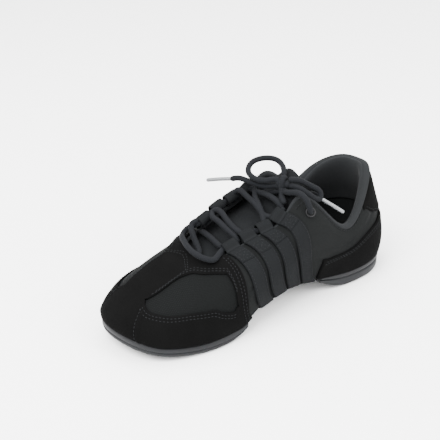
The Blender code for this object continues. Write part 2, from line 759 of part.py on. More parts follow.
BOW = {
    "lace_bow_toe": [
        (2.6, 24.3, 93.8), (-1, 18.5, 93.8), (-7.5, 12, 94.6), (-15.8, 11.4, 97.2), (-21.2, 17.2, 100.7),
        (-21, 24.8, 102.7), (-16.9, 32.3, 103), (-10.9, 36.3, 101.6), (-3.5, 35.5, 98.4), (1.6, 31.9, 95.4),
    ],
    "lace_bow_heel": [
        (12.6, 30.6, 95.9), (16.5, 37.1, 94.2), (20.5, 44.6, 89), (23.5, 49.5, 84.5), (25.5, 48, 80),
        (26, 42, 82.5), (24, 36.5, 87.5), (18, 32, 91), (13, 29.4, 91),
    ],
    "lace_end_toe": [(3.2, 24.6, 88.8), (-3, 18.3, 88.4), (-13, 10.4, 90.6), (-20.5, 6, 92), (-25.5, 3.2, 90.6)],
    "lace_end_heel": [(13.8, 28, 86.4), (18.2, 34, 86.2), (19.2, 41, 83.5), (18.4, 47.2, 81.2), (20, 49.8, 79)],
    "lace_stay_outer": [(11.8, 22.2, 84.6), (14.2, 21, 83.6), (17.5, 19.8, 82.6)],
    "lace_stay_inner": [(3, 24.4, 84), (-5, 20.5, 81.8), (-13.8, 20, 85.4)],
    "lace_stay_eyelet": [
        (12.6, 24.7, 88), (18, 24.4, 89), (25.5, 26.6, 91), (32.5, 28.8, 88), (36, 30, 81.5), (36, 31, 78),
    ],
}
KNOT = [(8, 27, 96.5), (7.6, 26.8, 91.5), (8, 27, 86.5)]
KNOT_DIAMETER = 0.0085
AGLETS = {
    "aglet_toe": [(-25.9, 2.9, 90.4), (-34, -2.8, 88.8), (-42, -9, 86.8)],
    "aglet_heel": [(20.6, 50.7, 78.2), (26, 58.5, 72), (31, 66.2, 65.5)],
}


def cord_mesh(points, sides=8):
    """A closed tube of the lace's size along a smooth curve through the points."""
    route = spread_points(points, None)
    forward = unit(np.gradient(route, axis=0))
    beside = unit(np.cross(forward, (0.0, 0.0, 1.0)))
    above = np.cross(beside, forward)

    def place(a, b):
        station = (b * (len(route) - 1)).round().astype(int)
        turn = 2 * np.pi * a[:, None]
        spoke = np.cos(turn) * beside[station] + np.sin(turn) * above[station]
        return route[station] + LACE / 2 * spoke

    bm = grid(sides, len(route) - 1, place)
    weld(bm)
    close_ends(bm)
    return bm


def make_lace_row(name, lace, strands):
    """A row of lace over the tongue: its strands are joined where they meet."""
    made = add_mesh(name, cord_mesh(MM * np.array(strands[0])), lace)
    for number, strand in enumerate(strands[1:]):
        other = add_mesh(f"{name}_joined_{number}", cord_mesh(MM * np.array(strand)), lace)
        other.hide_render = True
        other.display_type = "WIRE"
        union = made.modifiers.new("Join", "BOOLEAN")
        union.operation = "UNION"
        union.solver = "EXACT"
        union.object = other
    return made


def make_laces(lace, clear):
    for name, strands in LACE_ROWS.items():
        make_lace_row(name, lace, strands)
    cords = [tube(name, MM * np.array(points), lace) for name, points in BOW.items()]
    cords.append(tube("lace_knot", MM * np.array(KNOT), lace, KNOT_DIAMETER, 3))
    for name, points in AGLETS.items():
        cords.append(tube(name, MM * np.array(points), clear, AGLET, 3))
    return cords


FINISHES = {
    "suede": ((0.018, 0.017, 0.018), 0.95),
    "fabric": ((0.030, 0.030, 0.031), 0.80),
    "rubber": ((0.045, 0.046, 0.048), 0.60),
    "webbing": ((0.040, 0.042, 0.044), 0.75),
    "lace": ((0.045, 0.048, 0.050), 0.80),
    "jersey": ((0.055, 0.058, 0.060), 0.85),
    "insole foam": ((0.015, 0.015, 0.016), 0.85),
    "clear aglet": ((0.75, 0.76, 0.77), 0.20),
}


def centre_over_origin(cords):
    """Puts the middle of the shoe's box, without its cords, over the origin."""
    shoe = [made for made in bpy.data.objects if made.type == "MESH" and made not in cords]
    corners = np.concatenate([[v.co[:] for v in made.data.vertices] for made in shoe])
    middle = (corners.min(axis=0) + corners.max(axis=0)) / 2
    for made in bpy.data.objects:
        made.location = (-middle[0], -middle[1], 0.0)


def main():
    clear_scene()
    finish = {name: material(name, colour, rough) for name, (colour, rough) in FINISHES.items()}
    make_soles(finish["rubber"])
    slab("base", finish["fabric"], 1.5 * GAP, BASE, WALL + 2 * GAP)
    slab("insole", finish["insole foam"], BASE + 2.5 * GAP, INSOLE, WALL + 8 * GAP)
    make_upper(finish["fabric"])
    make_collar_padding(finish["jersey"])
    make_toe_suede(finish["suede"])
    make_heel_suede(finish["suede"])
    make_tongue(finish["jersey"])
    make_straps(finish["webbing"])
    centre_over_origin(make_laces(finish["lace"], finish["clear aglet"]))


main()
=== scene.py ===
"""Dresses the left dance sneaker for its picture: fabrics, seams, laces, soles, light.

The toe points along -Y, the outer side of the foot is +X and the floor is z = 0.
Lengths are in metres, except where a comment says millimetres.
"""

from __future__ import annotations

import logging
from dataclasses import dataclass
from enum import Enum
from typing import Callable, NamedTuple, Sequence

import bmesh
import bpy
import numpy as np
from mathutils import Matrix, Vector

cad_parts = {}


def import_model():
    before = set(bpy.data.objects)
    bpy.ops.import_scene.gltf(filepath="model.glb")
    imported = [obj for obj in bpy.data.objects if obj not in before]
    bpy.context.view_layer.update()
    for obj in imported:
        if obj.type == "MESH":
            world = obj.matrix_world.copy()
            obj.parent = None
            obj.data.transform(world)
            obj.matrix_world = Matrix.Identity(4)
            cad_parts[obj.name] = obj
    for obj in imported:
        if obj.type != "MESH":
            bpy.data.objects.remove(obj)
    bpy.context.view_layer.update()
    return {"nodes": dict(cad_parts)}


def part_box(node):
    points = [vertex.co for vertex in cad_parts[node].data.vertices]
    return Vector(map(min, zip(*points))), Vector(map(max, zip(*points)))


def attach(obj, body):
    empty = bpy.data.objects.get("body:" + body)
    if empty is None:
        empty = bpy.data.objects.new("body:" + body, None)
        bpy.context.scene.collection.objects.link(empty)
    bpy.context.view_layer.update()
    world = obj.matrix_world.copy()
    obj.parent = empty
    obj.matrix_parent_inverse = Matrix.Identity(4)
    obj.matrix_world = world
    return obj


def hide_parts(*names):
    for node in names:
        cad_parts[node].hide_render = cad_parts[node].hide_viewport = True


LOG = logging.getLogger("dance_sneaker")
MM = 0.001

# Sizes of the last
LENGTH = 0.253
BALL_WIDTH = 0.094
HEEL_HEIGHT = 0.086
ANKLE_HEIGHT = 0.052
THROAT_HEIGHT = 0.088
VAMP_HEIGHT = 0.056
HALF_LENGTH = LENGTH / 2
HALF_WIDTH = BALL_WIDTH / 2

# Sizes of the sole
FORE_SOLE = 0.009
TOE_SPRING = 0.009
ARCH_RISE = 0.0195
HEEL_SOLE = 0.013
SOLE_EDGE = 0.0014
FORE_SOLE_LENGTH = 0.0884
ARCH_LENGTH = 0.0775

# Thicknesses and clearances
WALL = 0.0022
GAP = 0.0003
OVERLAY_GAP = 0.0007
SUEDE = 0.0012
BASE = 0.0022
INSOLE = 0.0035
TONGUE = 0.0030
TONGUE_LENGTH = 0.0225
PAD = 0.0050
WEBBING = 0.0013
WEBBING_WIDTH = 0.0130
WEBBING_PITCH = 0.0147
LACE = 0.0044
AGLET = 0.0030

# How far a cut edge's underside and a seam's thread stand off the piece below
UNDERSIDE = 0.0001
THREAD_RISE = 0.0001

Array = np.ndarray
Pair = tuple[float, float]
Point = tuple[float, float, float]
Place = Callable[[Array, Array], Array]
DeepPlace = Callable[[Array, Array, float], Array]


class Side(Enum):
    """The outer side of the foot is +X."""

    OUTER = 1
    INNER = -1


class Weave(Enum):
    """How a finish's surface is drawn."""

    NAP = "nap"
    KNIT = "knit"
    MESH = "mesh"
    RIBS = "ribs"
    BRAID = "braid"
    SMOOTH = "smooth"


# Directions of the two yarns in degrees, for the weaves that are drawn as crossed waves
SLANTS = {Weave.KNIT: (90, 0), Weave.MESH: (45, 135), Weave.BRAID: (35, 145)}
# Which heights the crossed yarns' product gives, from 0 to 1
YARN_RANGE = (0.5, 1.0)
# A rib's length in pitches, and which heights the gaps and the ribs with their gaps give
RIB_LENGTH = 1.3
GAP_RANGE = (-0.15, 0.45)
RIB_RANGE = (0.35, 0.80)
NAP_DETAIL = 4.0
NAP_ROUGHNESS = 0.7
# Soft patches of wear and dye, about 18 mm apart
PATCHES_PER_METRE = 55.0
PATCH_DETAIL = 3.0
SHEEN_ROUGHNESS = 0.5
COAT_ROUGHNESS = 0.25


def linear(colour: str) -> tuple[float, float, float, float]:
    """Turns a hex sRGB colour into linear light.

    Args:
        colour: The colour as #RRGGBB.

    Returns:
        Red, green, blue and an opacity of one.
    """
    shares = np.array([int(colour[k : k + 2], 16) for k in (1, 3, 5)]) / 255
    bright = np.where(shares <= 0.04045, shares / 12.92, ((shares + 0.055) / 1.055) ** 2.4)
    return (*bright.tolist(), 1.0)


def add_node(
    tree: bpy.types.NodeTree, kind: str, inputs: dict | None = None, **settings: object
) -> bpy.types.Node:
    """Adds a node with its settings, sockets and links.

    Args:
        tree: The node tree that gets it.
        kind: The node's type name.
        inputs: A value or a linked output for each input, by name or number.
        **settings: The node's own properties.

    Returns:
        The new node.
    """
    node = tree.nodes.new(kind)
    for name, value in settings.items():
        setattr(node, name, value)
    for key, value in (inputs or {}).items():
        if isinstance(value, bpy.types.NodeSocket):
            tree.links.new(value, node.inputs[key])
        else:
            node.inputs[key].default_value = value
    return node


def ramp(
    tree: bpy.types.NodeTree, value: bpy.types.NodeSocket, low: float, high: float
) -> bpy.types.NodeSocket:
    """Maps 0 to 1 onto low to high and returns the output."""
    sockets = {"Value": value, "To Min": low, "To Max": high}
    return add_node(tree, "ShaderNodeMapRange", sockets).outputs[0]


def wave(
    tree: bpy.types.NodeTree, where: bpy.types.NodeSocket, degrees: float, pitch: float
) -> bpy.types.NodeSocket:
    """Draws a sine across one direction of the texture.

    Args:
        tree: The node tree that gets its nodes.
        where: The texture coordinates.
        degrees: The direction in which the wave runs.
        pitch: How far apart its crests lie.

    Returns:
        The sine's output, from -1 to 1.
    """
    turn, rate = np.radians(degrees), 2 * np.pi / pitch
    along = (rate * np.cos(turn), rate * np.sin(turn), 0.0)
    run = add_node(tree, "ShaderNodeVectorMath", {0: where, 1: along}, operation="DOT_PRODUCT")
    sine = add_node(tree, "ShaderNodeMath", {0: run.outputs["Value"]}, operation="SINE")
    return sine.outputs[0]


@dataclass(frozen=True)
class Finish:
    """A material, with its pattern's pitch and depth as they really are."""

    name: str
    slot: str
    colour: str
    roughness: float
    weave: Weave
    pitch: float = 0.001
    depth: float = 0.0002
    # How far painted shade darkens the weave's hollows, as a share of the colour
    hollow_shade: float = 0.5
    sheen: float = 0.0
    coat: float = 0.0
    blotch: float = 0.0
    metallic: float = 0.0
    gloss: float = 0.02

    def build(self) -> bpy.types.Material:
        """Makes the material once.

        Returns:
            The material, new or as it was made before.
        """
        found = bpy.data.materials.get(self.name)
        if found:
            return found
        made = bpy.data.materials.new(self.name)
        made.use_nodes = True
        tree = made.node_tree
        shader = tree.nodes["Principled BSDF"]
        for socket, value in (
            ("Base Color", linear(self.colour)),
            ("Metallic", self.metallic),
            ("Roughness", self.roughness),
            ("Specular IOR Level", self.gloss),
            ("Sheen Weight", self.sheen),
            ("Sheen Roughness", SHEEN_ROUGHNESS),
            ("Coat Weight", self.coat),
            ("Coat Roughness", COAT_ROUGHNESS),
        ):
            shader.inputs[socket].default_value = value
        if self.weave is not Weave.SMOOTH:
            self.draw(tree, shader)
        return made

    def draw(self, tree: bpy.types.NodeTree, shader: bpy.types.Node) -> None:
        """Darkens the colour in the weave's hollows with painted shade, bumps the surface by its
        weave, and tints it in soft patches.

        Args:
            tree: The material's node tree.
            shader: The shader that gets the tint and the bump.
        """
        height = self.height(tree)
        place = add_node(tree, "ShaderNodeTexCoord").outputs["Object"]
        sockets = {"Vector": place, "Scale": PATCHES_PER_METRE, "Detail": PATCH_DETAIL}
        cloud = add_node(tree, "ShaderNodeTexNoise", sockets).outputs["Fac"]
        # Painted shade: the colour is darkened where the weave's relief is low, in its hollows
        shade = ramp(tree, height, 1 - self.hollow_shade, 1.0)
        patch = ramp(tree, cloud, 1 - self.blotch, 1 + self.blotch)
        tone = add_node(tree, "ShaderNodeMath", {0: shade, 1: patch}, operation="MULTIPLY")
        sockets = {0: linear(self.colour)[:3], "Scale": tone.outputs[0]}
        tint = add_node(tree, "ShaderNodeVectorMath", sockets, operation="SCALE")
        tree.links.new(tint.outputs[0], shader.inputs["Base Color"])
        sockets = {"Height": height, "Distance": self.depth, "Strength": 1.0}
        bump = add_node(tree, "ShaderNodeBump", sockets)
        tree.links.new(bump.outputs["Normal"], shader.inputs["Normal"])

    def height(self, tree: bpy.types.NodeTree) -> bpy.types.NodeSocket:
        """Draws the weave's relief.

        Args:
            tree: The material's node tree.

        Returns:
            The output that holds the height, from 0 to 1.
        """
        spot = add_node(tree, "ShaderNodeTexCoord")
        where = spot.outputs["UV"]
        if self.weave is Weave.NAP:
            sockets = {"Vector": spot.outputs["Object"], "Scale": 1 / self.pitch}
            sockets |= {"Detail": NAP_DETAIL, "Roughness": NAP_ROUGHNESS}
            return add_node(tree, "ShaderNodeTexNoise", sockets).outputs["Fac"]
        if self.weave is Weave.RIBS:
            # Round ribs across the strap, parted by narrow gaps along it
            ribs = wave(tree, where, 90, self.pitch)
            gaps = ramp(tree, wave(tree, where, 0, RIB_LENGTH * self.pitch), *GAP_RANGE)
            both = add_node(tree, "ShaderNodeMath", {0: ribs, 1: gaps}, operation="ADD")
            return ramp(tree, both.outputs[0], *RIB_RANGE)
        yarns = [wave(tree, where, angle, self.pitch) for angle in SLANTS[self.weave]]
        both = add_node(tree, "ShaderNodeMath", dict(enumerate(yarns)), operation="MULTIPLY")
        return ramp(tree, both.outputs[0], *YARN_RANGE)


# Split suede, split leather brushed to a nap: soft, patchy and almost without shine
SUEDE_NAP = Finish(
    "split suede, brushed", "suede", "#080808", 0.95, Weave.NAP, 0.0007, 0.00016, 0.35, blotch=0.32
)
# Quarter fabric, a polyester knit set flat by heat: even, matt and a shade lighter than the
# suede. Real stitches are about 0.5 mm wide; they are drawn at 1.1 mm to show at all.
QUARTER_KNIT = Finish(
    "polyester knit, heat set", "fabric", "#111212", 0.72, Weave.KNIT, 0.0011, 0.00008, 0.25,
    blotch=0.08,
)
# Toe inset, an air mesh of warp knitted spacer fabric: a net of small holes, 1.9 mm apart,
# darkened with painted shade
AIR_MESH = Finish(
    "air mesh, warp knitted", "fabric", "#0F1010", 0.75, Weave.MESH, 0.0019, 0.00025, 0.75
)
# Collar lining and rim, nylon jersey over foam: the palest cloth, with a faint bloom.
# Its loops of about 0.4 mm are drawn at 1 mm.
LINING_JERSEY = Finish(
    "nylon jersey, foam backed", "lining", "#1A1B1C", 0.85, Weave.KNIT, 0.0010, 0.00006, 0.20,
    sheen=0.02, blotch=0.10,
)
# Tongue, the same kind of jersey dyed darker, drawn at 1.2 mm
TONGUE_JERSEY = Finish(
    "tongue jersey, foam backed", "lining", "#131415", 0.85, Weave.KNIT, 0.0012, 0.00008, 0.25,
    sheen=0.01, blotch=0.10,
)
# Footbed, moulded foam with a cloth top: the darkest face, deep inside the shoe
FOOTBED = Finish(
    "moulded foam with a cloth top", "insole", "#0D0D0E", 0.90, Weave.KNIT, 0.0012, 0.00008, 0.2
)
# Straps, polyester webbing woven in ribs 1.1 mm apart: fine crosswise lines that catch light
RIBBED_WEBBING = Finish(
    "polyester webbing, woven in ribs", "webbing", "#131415", 0.70, Weave.RIBS, 0.0011, 0.00022,
    0.45, blotch=0.08,
)
# Laces, braided polyester: round and slightly paler, with crossed yarns 1.4 mm apart
BRAIDED_LACE = Finish(
    "polyester lace, braided", "lace", "#151618", 0.70, Weave.BRAID, 0.0014, 0.00025, 0.50,
    sheen=0.01,
)
# Aglets, clear plastic film shrunk over pale lace ends: the only bright, glossy spots
AGLET_PLASTIC = Finish(
    "aglet plastic, heat shrunk", "aglet", "#4C4E50", 0.22, Weave.SMOOTH, coat=0.6, gloss=0.5
)
# Soles, compression moulded rubber: dark grey with a dull shine and a slightly cloudy face
MOULDED_RUBBER = Finish(
    "rubber, compression moulded", "rubber", "#111214", 0.55, Weave.NAP, 0.0009, 0.00005, 0.20,
    blotch=0.28, gloss=0.15,
)
# Under the foot, a stiff woven board: a coarse even cloth, in shadow at the arch
WOVEN_BOARD = Finish("woven board", "fabric", "#17181A", 0.80, Weave.KNIT, 0.0013, 0.00010, 0.3)
# Seams, bonded nylon thread: thin, a little paler than what it holds
BONDED_THREAD = Finish("nylon thread, bonded", "fabric", "#191A1B", 0.55, Weave.SMOOTH)
# Top eyelet, a pressed steel ring with a dark lacquer: a thin soft glint round the lace
EYELET_METAL = Finish(
    "steel ring, lacquered", "fabric", "#121213", 0.45, Weave.SMOOTH, metallic=0.2, gloss=0.15
)
# Floor, plain white paper: matt, so that only the soft shadow shows on it
WHITE_PAPER = Finish("white paper", "floor", "#F4F4F4", 0.9, Weave.SMOOTH, gloss=0.5)


# Where the rings of a tube's domed end lie, from its tip to its straight part
DOME = np.radians([90.0, 60.0, 30.0])
# Corners nearer to each other than this are one
WELD = 1e-6


def unit(vector: Array) -> Array:
    """Vectors of length one."""
    return vector / np.linalg.norm(vector, axis=-1, keepdims=True)


def run_along(points: Array) -> Array:
    """How far along a line each of its points lies, from 0."""
    return np.concatenate([[0.0], np.cumsum(np.linalg.norm(np.diff(points, axis=0), axis=1))])


def read_along(points: Array, run: Array, at: Array) -> Array:
    """Points of a line whose own points lie at the distances run, at the distances at."""
    return np.stack([np.interp(at, run, points[:, k]) for k in range(3)], axis=1)


def flat_uv(wide: float, long: float) -> Place:
    """Texture coordinates of a piece laid flat, wide along a and long along b."""
    return lambda a, b: np.stack([wide * a, long * b], axis=-1)


def turned_uv(wide: float, long: float) -> Place:
    """Texture coordinates of a piece laid flat, with its length along the cloth's width."""
    return lambda a, b: np.stack([long * b, wide * a], axis=-1)


def grid(cols: int, rows: int, place: Place, uv: Place) -> bmesh.types.BMesh:
    """A bmesh grid bent by place(a, b), with texture coordinates in metres by uv(a, b).

    Args:
        cols: Faces along a, which runs from 0 to 1.
        rows: Faces along b, which runs from 0 to 1.
        place: Gives each corner its point.
        uv: Gives each corner its texture coordinates.

    Returns:
        The bmesh, with each corner's (a, b) in the layer "share".
    """
    bm = bmesh.new()
    share = bm.verts.layers.float_vector.new("share")
    layer = bm.loops.layers.uv.new("fabric")
    bmesh.ops.create_grid(bm, x_segments=cols, y_segments=rows, size=0.5)
    shares = np.array([(v.co.x + 0.5, v.co.y + 0.5) for v in bm.verts])
    spots, texture = place(*shares.T), uv(*shares.T)
    for vertex, (a, b), spot in zip(bm.verts, shares, spots):
        vertex.co = spot
        vertex[share] = (a, b, 0.0)
    for face in bm.faces:
        for loop in face.loops:
            loop[layer].uv = texture[loop.vert.index]
    return bm


def weld(bm: bmesh.types.BMesh) -> None:
    """Joins corners that lie on each other."""
    bmesh.ops.remove_doubles(bm, verts=bm.verts, dist=WELD)


def close_rims(bm: bmesh.types.BMesh) -> None:
    """Fills each open rim."""
    rims = [edge for edge in bm.edges if edge.is_boundary]
    bmesh.ops.holes_fill(bm, edges=rims, sides=0)


def add_mesh(name: str, bm: bmesh.types.BMesh, finish: Finish) -> bpy.types.Object:
    """Links a bmesh as an object with a finish.

    Args:
        name: The object's name.
        bm: The mesh, which is freed.
        finish: Its material.

    Returns:
        The new object.
    """
    mesh = bpy.data.meshes.new(name)
    bm.to_mesh(mesh)
    bm.free()
    mesh.materials.append(finish.build())
    made = bpy.data.objects.new(name, mesh)
    bpy.context.scene.collection.objects.link(made)
    return made


def add_piece(
    name: str, bm: bmesh.types.BMesh, finish: Finish, nodes: Sequence[str] = ()
) -> bpy.types.Object:
    """Links a bmesh as a smooth shaded piece of the shoe.

    Args:
        name: The object's name.
        bm: The mesh, which is freed.
        finish: Its material.
        nodes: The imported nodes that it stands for.

    Returns:
        The new object.
    """
    bmesh.ops.recalc_face_normals(bm, faces=bm.faces)
    made = add_mesh(name, bm, finish)
    made.data.shade_smooth()
    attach(made, "root")
    if nodes:
        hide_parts(*nodes)
    LOG.info("%s: %d faces, %s", name, len(made.data.polygons), finish.name)
    return made


def add_wall(
    name: str,
    finish: Finish,
    cells: tuple[int, int],
    place: DeepPlace,
    thickness: float,
    uv: Place,
    keep: Callable[[float, float], bool] | None = None,
    nodes: Sequence[str] = (),
) -> bpy.types.Object:
    """A wall of even thickness under the face place(a, b, depth), with closed rims.

    Args:
        name: The object's name.
        finish: Its material.
        cells: Faces along a and along b.
        place: Gives each corner its point at a depth out of the face.
        thickness: How far the inner face lies under the outer one.
        uv: Gives each corner its texture coordinates.
        keep: Tells by the middle of a face whether it is built.
        nodes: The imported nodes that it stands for.

    Returns:
        The new object.
    """
    bm = grid(*cells, lambda a, b: place(a, b, 0.0), uv)
    share = bm.verts.layers.float_vector["share"]
    if keep:
        middles = {f: sum((v[share] for v in f.verts), Vector()) / len(f.verts) for f in bm.faces}
        gone = [face for face, middle in middles.items() if not keep(middle.x, middle.y)]
        bmesh.ops.delete(bm, geom=gone, context="FACES")
    weld(bm)
    rims = [tuple(edge.verts) for edge in bm.edges if edge.is_boundary]
    outer = list(bm.verts)
    copies = bmesh.ops.duplicate(bm, geom=outer + bm.edges[:] + bm.faces[:])["vert_map"]
    shares = np.array([vertex[share] for vertex in outer])
    for vertex, spot in zip(outer, place(shares[:, 0], shares[:, 1], -thickness)):
        copies[vertex].co = spot
    for first, second in rims:
        bm.faces.new((first, second, copies[second], copies[first]))
    return add_piece(name, bm, finish, nodes)


def periodic_spline(values: Array, at: Array) -> Array:
    """A smooth closed curve through evenly spaced values.

    Args:
        values: The values, one row for each whole step round the curve.
        at: Where it is read, in steps.

    Returns:
        The curve's value at each place.
    """
    values = np.asarray(values, float)
    count = len(values)
    matrix = 4 * np.eye(count) + np.eye(count, k=1) + np.eye(count, k=-1)
    matrix[0, -1] = matrix[-1, 0] = 1
    around = np.roll(values, -1, 0) - 2 * values + np.roll(values, 1, 0)
    bend = np.linalg.solve(matrix, 6 * around)
    at = np.mod(np.asarray(at, float), count)
    low = np.floor(at).astype(int) % count
    high = (low + 1) % count
    t = at - np.floor(at)
    s = 1 - t
    if values.ndim > 1:
        t, s = t[..., None], s[..., None]
    curve = s * values[low] + t * values[high]
    return curve + ((s**3 - s) * bend[low] + (t**3 - t) * bend[high]) / 6


def smooth_through(table: Sequence[Pair] | Array, at: Array, column: int = 1) -> Array:
    """A smooth open curve through a table's rows, with no overshoot.

    Args:
        table: Rows that start with the place and go on with the values there.
        at: Where the curve is read.
        column: Which value of each row it runs through.

    Returns:
        The curve's value at each place, held level past both ends.
    """
    knots, values = np.asarray(table, float)[:, (0, column)].T
    at = np.clip(at, knots[0], knots[-1])
    step, rise = np.diff(knots), np.diff(values) / np.diff(knots)
    same = rise[1:] * rise[:-1] > 0
    weight = 3 * (step[1:] + step[:-1])
    first = (2 * step[1:] + step[:-1]) / np.where(same, rise[:-1], 1)
    second = (step[1:] + 2 * step[:-1]) / np.where(same, rise[1:], 1)
    slope = np.concatenate([[0.0], np.where(same, weight / (first + second), 0.0), [0.0]])
    low = np.clip(np.searchsorted(knots, at, side="right") - 1, 0, len(step) - 1)
    t = (at - knots[low]) / step[low]
    return (
        values[low] * (1 + 2 * t) * (1 - t) ** 2
        + values[low + 1] * (3 - 2 * t) * t**2
        + step[low] * (slope[low] * t * (1 - t) ** 2 - slope[low + 1] * (1 - t) * t**2)
    )


def spread_points(points: Sequence[Point] | Array, pitch: float) -> Array:
    """Evenly spaced points of a smooth open curve through the given ones.

    Args:
        points: The points that the curve runs through.
        pitch: About how far apart the new points lie.

    Returns:
        The new points, one row each.
    """
    points = np.asarray(points, float)
    chord = np.sqrt(np.linalg.norm(np.diff(points, axis=0), axis=1))
    knots = np.concatenate([[0.0], np.cumsum(chord)])
    count = len(points)
    step = np.diff(knots)
    matrix, known = np.eye(count), np.zeros((count, 3))
    for k in range(1, count - 1):
        matrix[k, k - 1 : k + 2] = step[k - 1], 2 * (step[k - 1] + step[k]), step[k]
        slopes = np.diff(points[k - 1 : k + 2], axis=0) / step[k - 1 : k + 1, None]
        known[k] = 6 * (slopes[1] - slopes[0])
    bend = np.linalg.solve(matrix, known)
    at = np.linspace(0, knots[-1], 60 * count)
    low = np.clip(np.searchsorted(knots, at, side="right") - 1, 0, count - 2)
    width, t = step[low][:, None], ((at - knots[low]) / step[low])[:, None]
    s = 1 - t
    fine = s * points[low] + t * points[low + 1]
    fine = fine + width**2 * ((s**3 - s) * bend[low] + (t**3 - t) * bend[low + 1]) / 6
    run = run_along(fine)
    even = np.linspace(0, run[-1], max(2, round(run[-1] / pitch)) + 1)
    return read_along(fine, run, even)


def add_tube(
    name: str,
    finish: Finish,
    route: Array,
    diameter: float,
    nodes: Sequence[str] = (),
    sides: int = 16,
) -> bpy.types.Object:
    """A closed round tube with domed ends along a route.

    Args:
        name: The object's name.
        finish: Its material.
        route: Evenly spaced points of its centre line.
        diameter: Its width.
        nodes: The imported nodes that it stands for.
        sides: Faces round it.

    Returns:
        The new object.
    """
    forward = unit(np.gradient(route, axis=0))
    beside = np.zeros_like(forward)
    level = (0.0, 0.0, 1.0) if abs(forward[0, 2]) < 0.9 else (1.0, 0.0, 0.0)
    beside[0] = unit(np.cross(forward[0], level))
    for k in range(1, len(route)):
        beside[k] = unit(beside[k - 1] - (beside[k - 1] @ forward[k]) * forward[k])
    above = np.cross(beside, forward)
    radius = diameter / 2
    before = [route[0] - radius * np.sin(turn) * forward[0] for turn in DOME]
    after = [route[-1] + radius * np.sin(turn) * forward[-1] for turn in DOME[::-1]]
    centre = np.concatenate([before, route, after])
    wide = np.concatenate([np.cos(DOME), np.ones(len(route)), np.cos(DOME[::-1])]) * radius
    pick = np.clip(np.arange(len(centre)) - len(DOME), 0, len(route) - 1)
    run = run_along(centre)

    def station(b: Array) -> Array:
        """The number of the centre line's point."""
        return (b * (len(centre) - 1)).round().astype(int)

    def place(a: Array, b: Array) -> Array:
        """Places the tube's skin.

        Args:
            a: Shares round the tube.
            b: Shares along it.

        Returns:
            The points, in metres.
        """
        turn, at = 2 * np.pi * a[:, None], station(b)
        spoke = np.cos(turn) * beside[pick[at]] + np.sin(turn) * above[pick[at]]
        return centre[at] + wide[at][:, None] * spoke

    def uv(a: Array, b: Array) -> Array:
        """Texture coordinates round the tube and along it."""
        return np.stack([a * np.pi * diameter, run[station(b)]], axis=1)

    bm = grid(sides, len(centre) - 1, place, uv)
    weld(bm)
    return add_piece(name, bm, finish, nodes)


class Profile(NamedTuple):
    """One profile of the upper, in shares of the shoe's sizes and its own height."""

    foot_along: float
    foot_out: float
    top_along: float
    top_out: float
    top_up: float
    rise: float
    flare: float
    spread: float
    drop: float


# From the heel (0) round by the outer side (1 to 10), the toe (11) and the inner side
PROFILES = (
    Profile(0.955, 0.00, 0.87, 0.00, HEEL_HEIGHT, 0.30, 0.10, 0.08, 0.40),
    Profile(0.89, 0.45, 0.82, 0.36, 0.97 * HEEL_HEIGHT, 0.30, 0.09, 0.09, 0.40),
    Profile(0.74, 0.69, 0.68, 0.62, 0.73 * HEEL_HEIGHT, 0.32, 0.08, 0.10, 0.38),
    Profile(0.54, 0.73, 0.555, 0.70, ANKLE_HEIGHT, 0.34, 0.08, 0.10, 0.34),
    Profile(0.33, 0.70, 0.42, 0.67, 1.24 * ANKLE_HEIGHT, 0.34, 0.12, 0.22, 0.30),
    Profile(0.13, 0.73, 0.25, 0.52, 0.98 * THROAT_HEIGHT, 0.34, 0.12, 0.30, 0.22),
    Profile(-0.07, 0.82, 0.10, 0.53, 0.82 * THROAT_HEIGHT, 0.34, 0.10, 0.32, 0.22),
    Profile(-0.27, 0.93, -0.06, 0.50, 0.74 * THROAT_HEIGHT, 0.36, 0.08, 0.36, 0.22),
    Profile(-0.47, 1.00, -0.22, 0.45, 0.67 * THROAT_HEIGHT, 0.40, 0.06, 0.40, 0.20),
    Profile(-0.67, 0.94, -0.35, 0.37, 0.96 * VAMP_HEIGHT, 0.43, 0.05, 0.48, 0.16),
    Profile(-0.87, 0.66, -0.41, 0.20, 0.97 * VAMP_HEIGHT, 0.44, 0.05, 0.62, 0.14),
    Profile(-0.965, -0.03, -0.42, -0.02, VAMP_HEIGHT, 0.44, 0.05, 0.66, 0.13),
    Profile(-0.91, -0.55, -0.41, -0.22, 1.01 * VAMP_HEIGHT, 0.39, 0.05, 0.55, 0.15),
    Profile(-0.74, -0.84, -0.36, -0.37, 1.03 * VAMP_HEIGHT, 0.37, 0.06, 0.41, 0.18),
    Profile(-0.52, -0.94, -0.22, -0.45, 0.71 * THROAT_HEIGHT, 0.38, 0.07, 0.38, 0.20),
    Profile(-0.30, -0.86, -0.06, -0.50, 0.78 * THROAT_HEIGHT, 0.36, 0.10, 0.36, 0.22),
    Profile(-0.07, -0.70, 0.10, -0.52, 0.86 * THROAT_HEIGHT, 0.34, 0.14, 0.34, 0.22),
    Profile(0.13, -0.62, 0.25, -0.52, 1.00 * THROAT_HEIGHT, 0.34, 0.16, 0.32, 0.22),
    Profile(0.33, -0.62, 0.42, -0.66, 1.44 * ANKLE_HEIGHT, 0.34, 0.14, 0.22, 0.30),
    Profile(0.54, -0.66, 0.555, -0.72, 1.28 * ANKLE_HEIGHT, 0.34, 0.12, 0.12, 0.34),
    Profile(0.74, -0.65, 0.69, -0.68, 0.88 * HEEL_HEIGHT, 0.32, 0.09, 0.10, 0.38),
    Profile(0.89, -0.43, 0.83, -0.41, 0.98 * HEEL_HEIGHT, 0.30, 0.09, 0.09, 0.40),
)
TURN = len(PROFILES)
TOE = 11

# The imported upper's mesh: its columns round the shoe and its rows up it
PACKED_COLUMNS = 66
PACKED_ROWS = 10

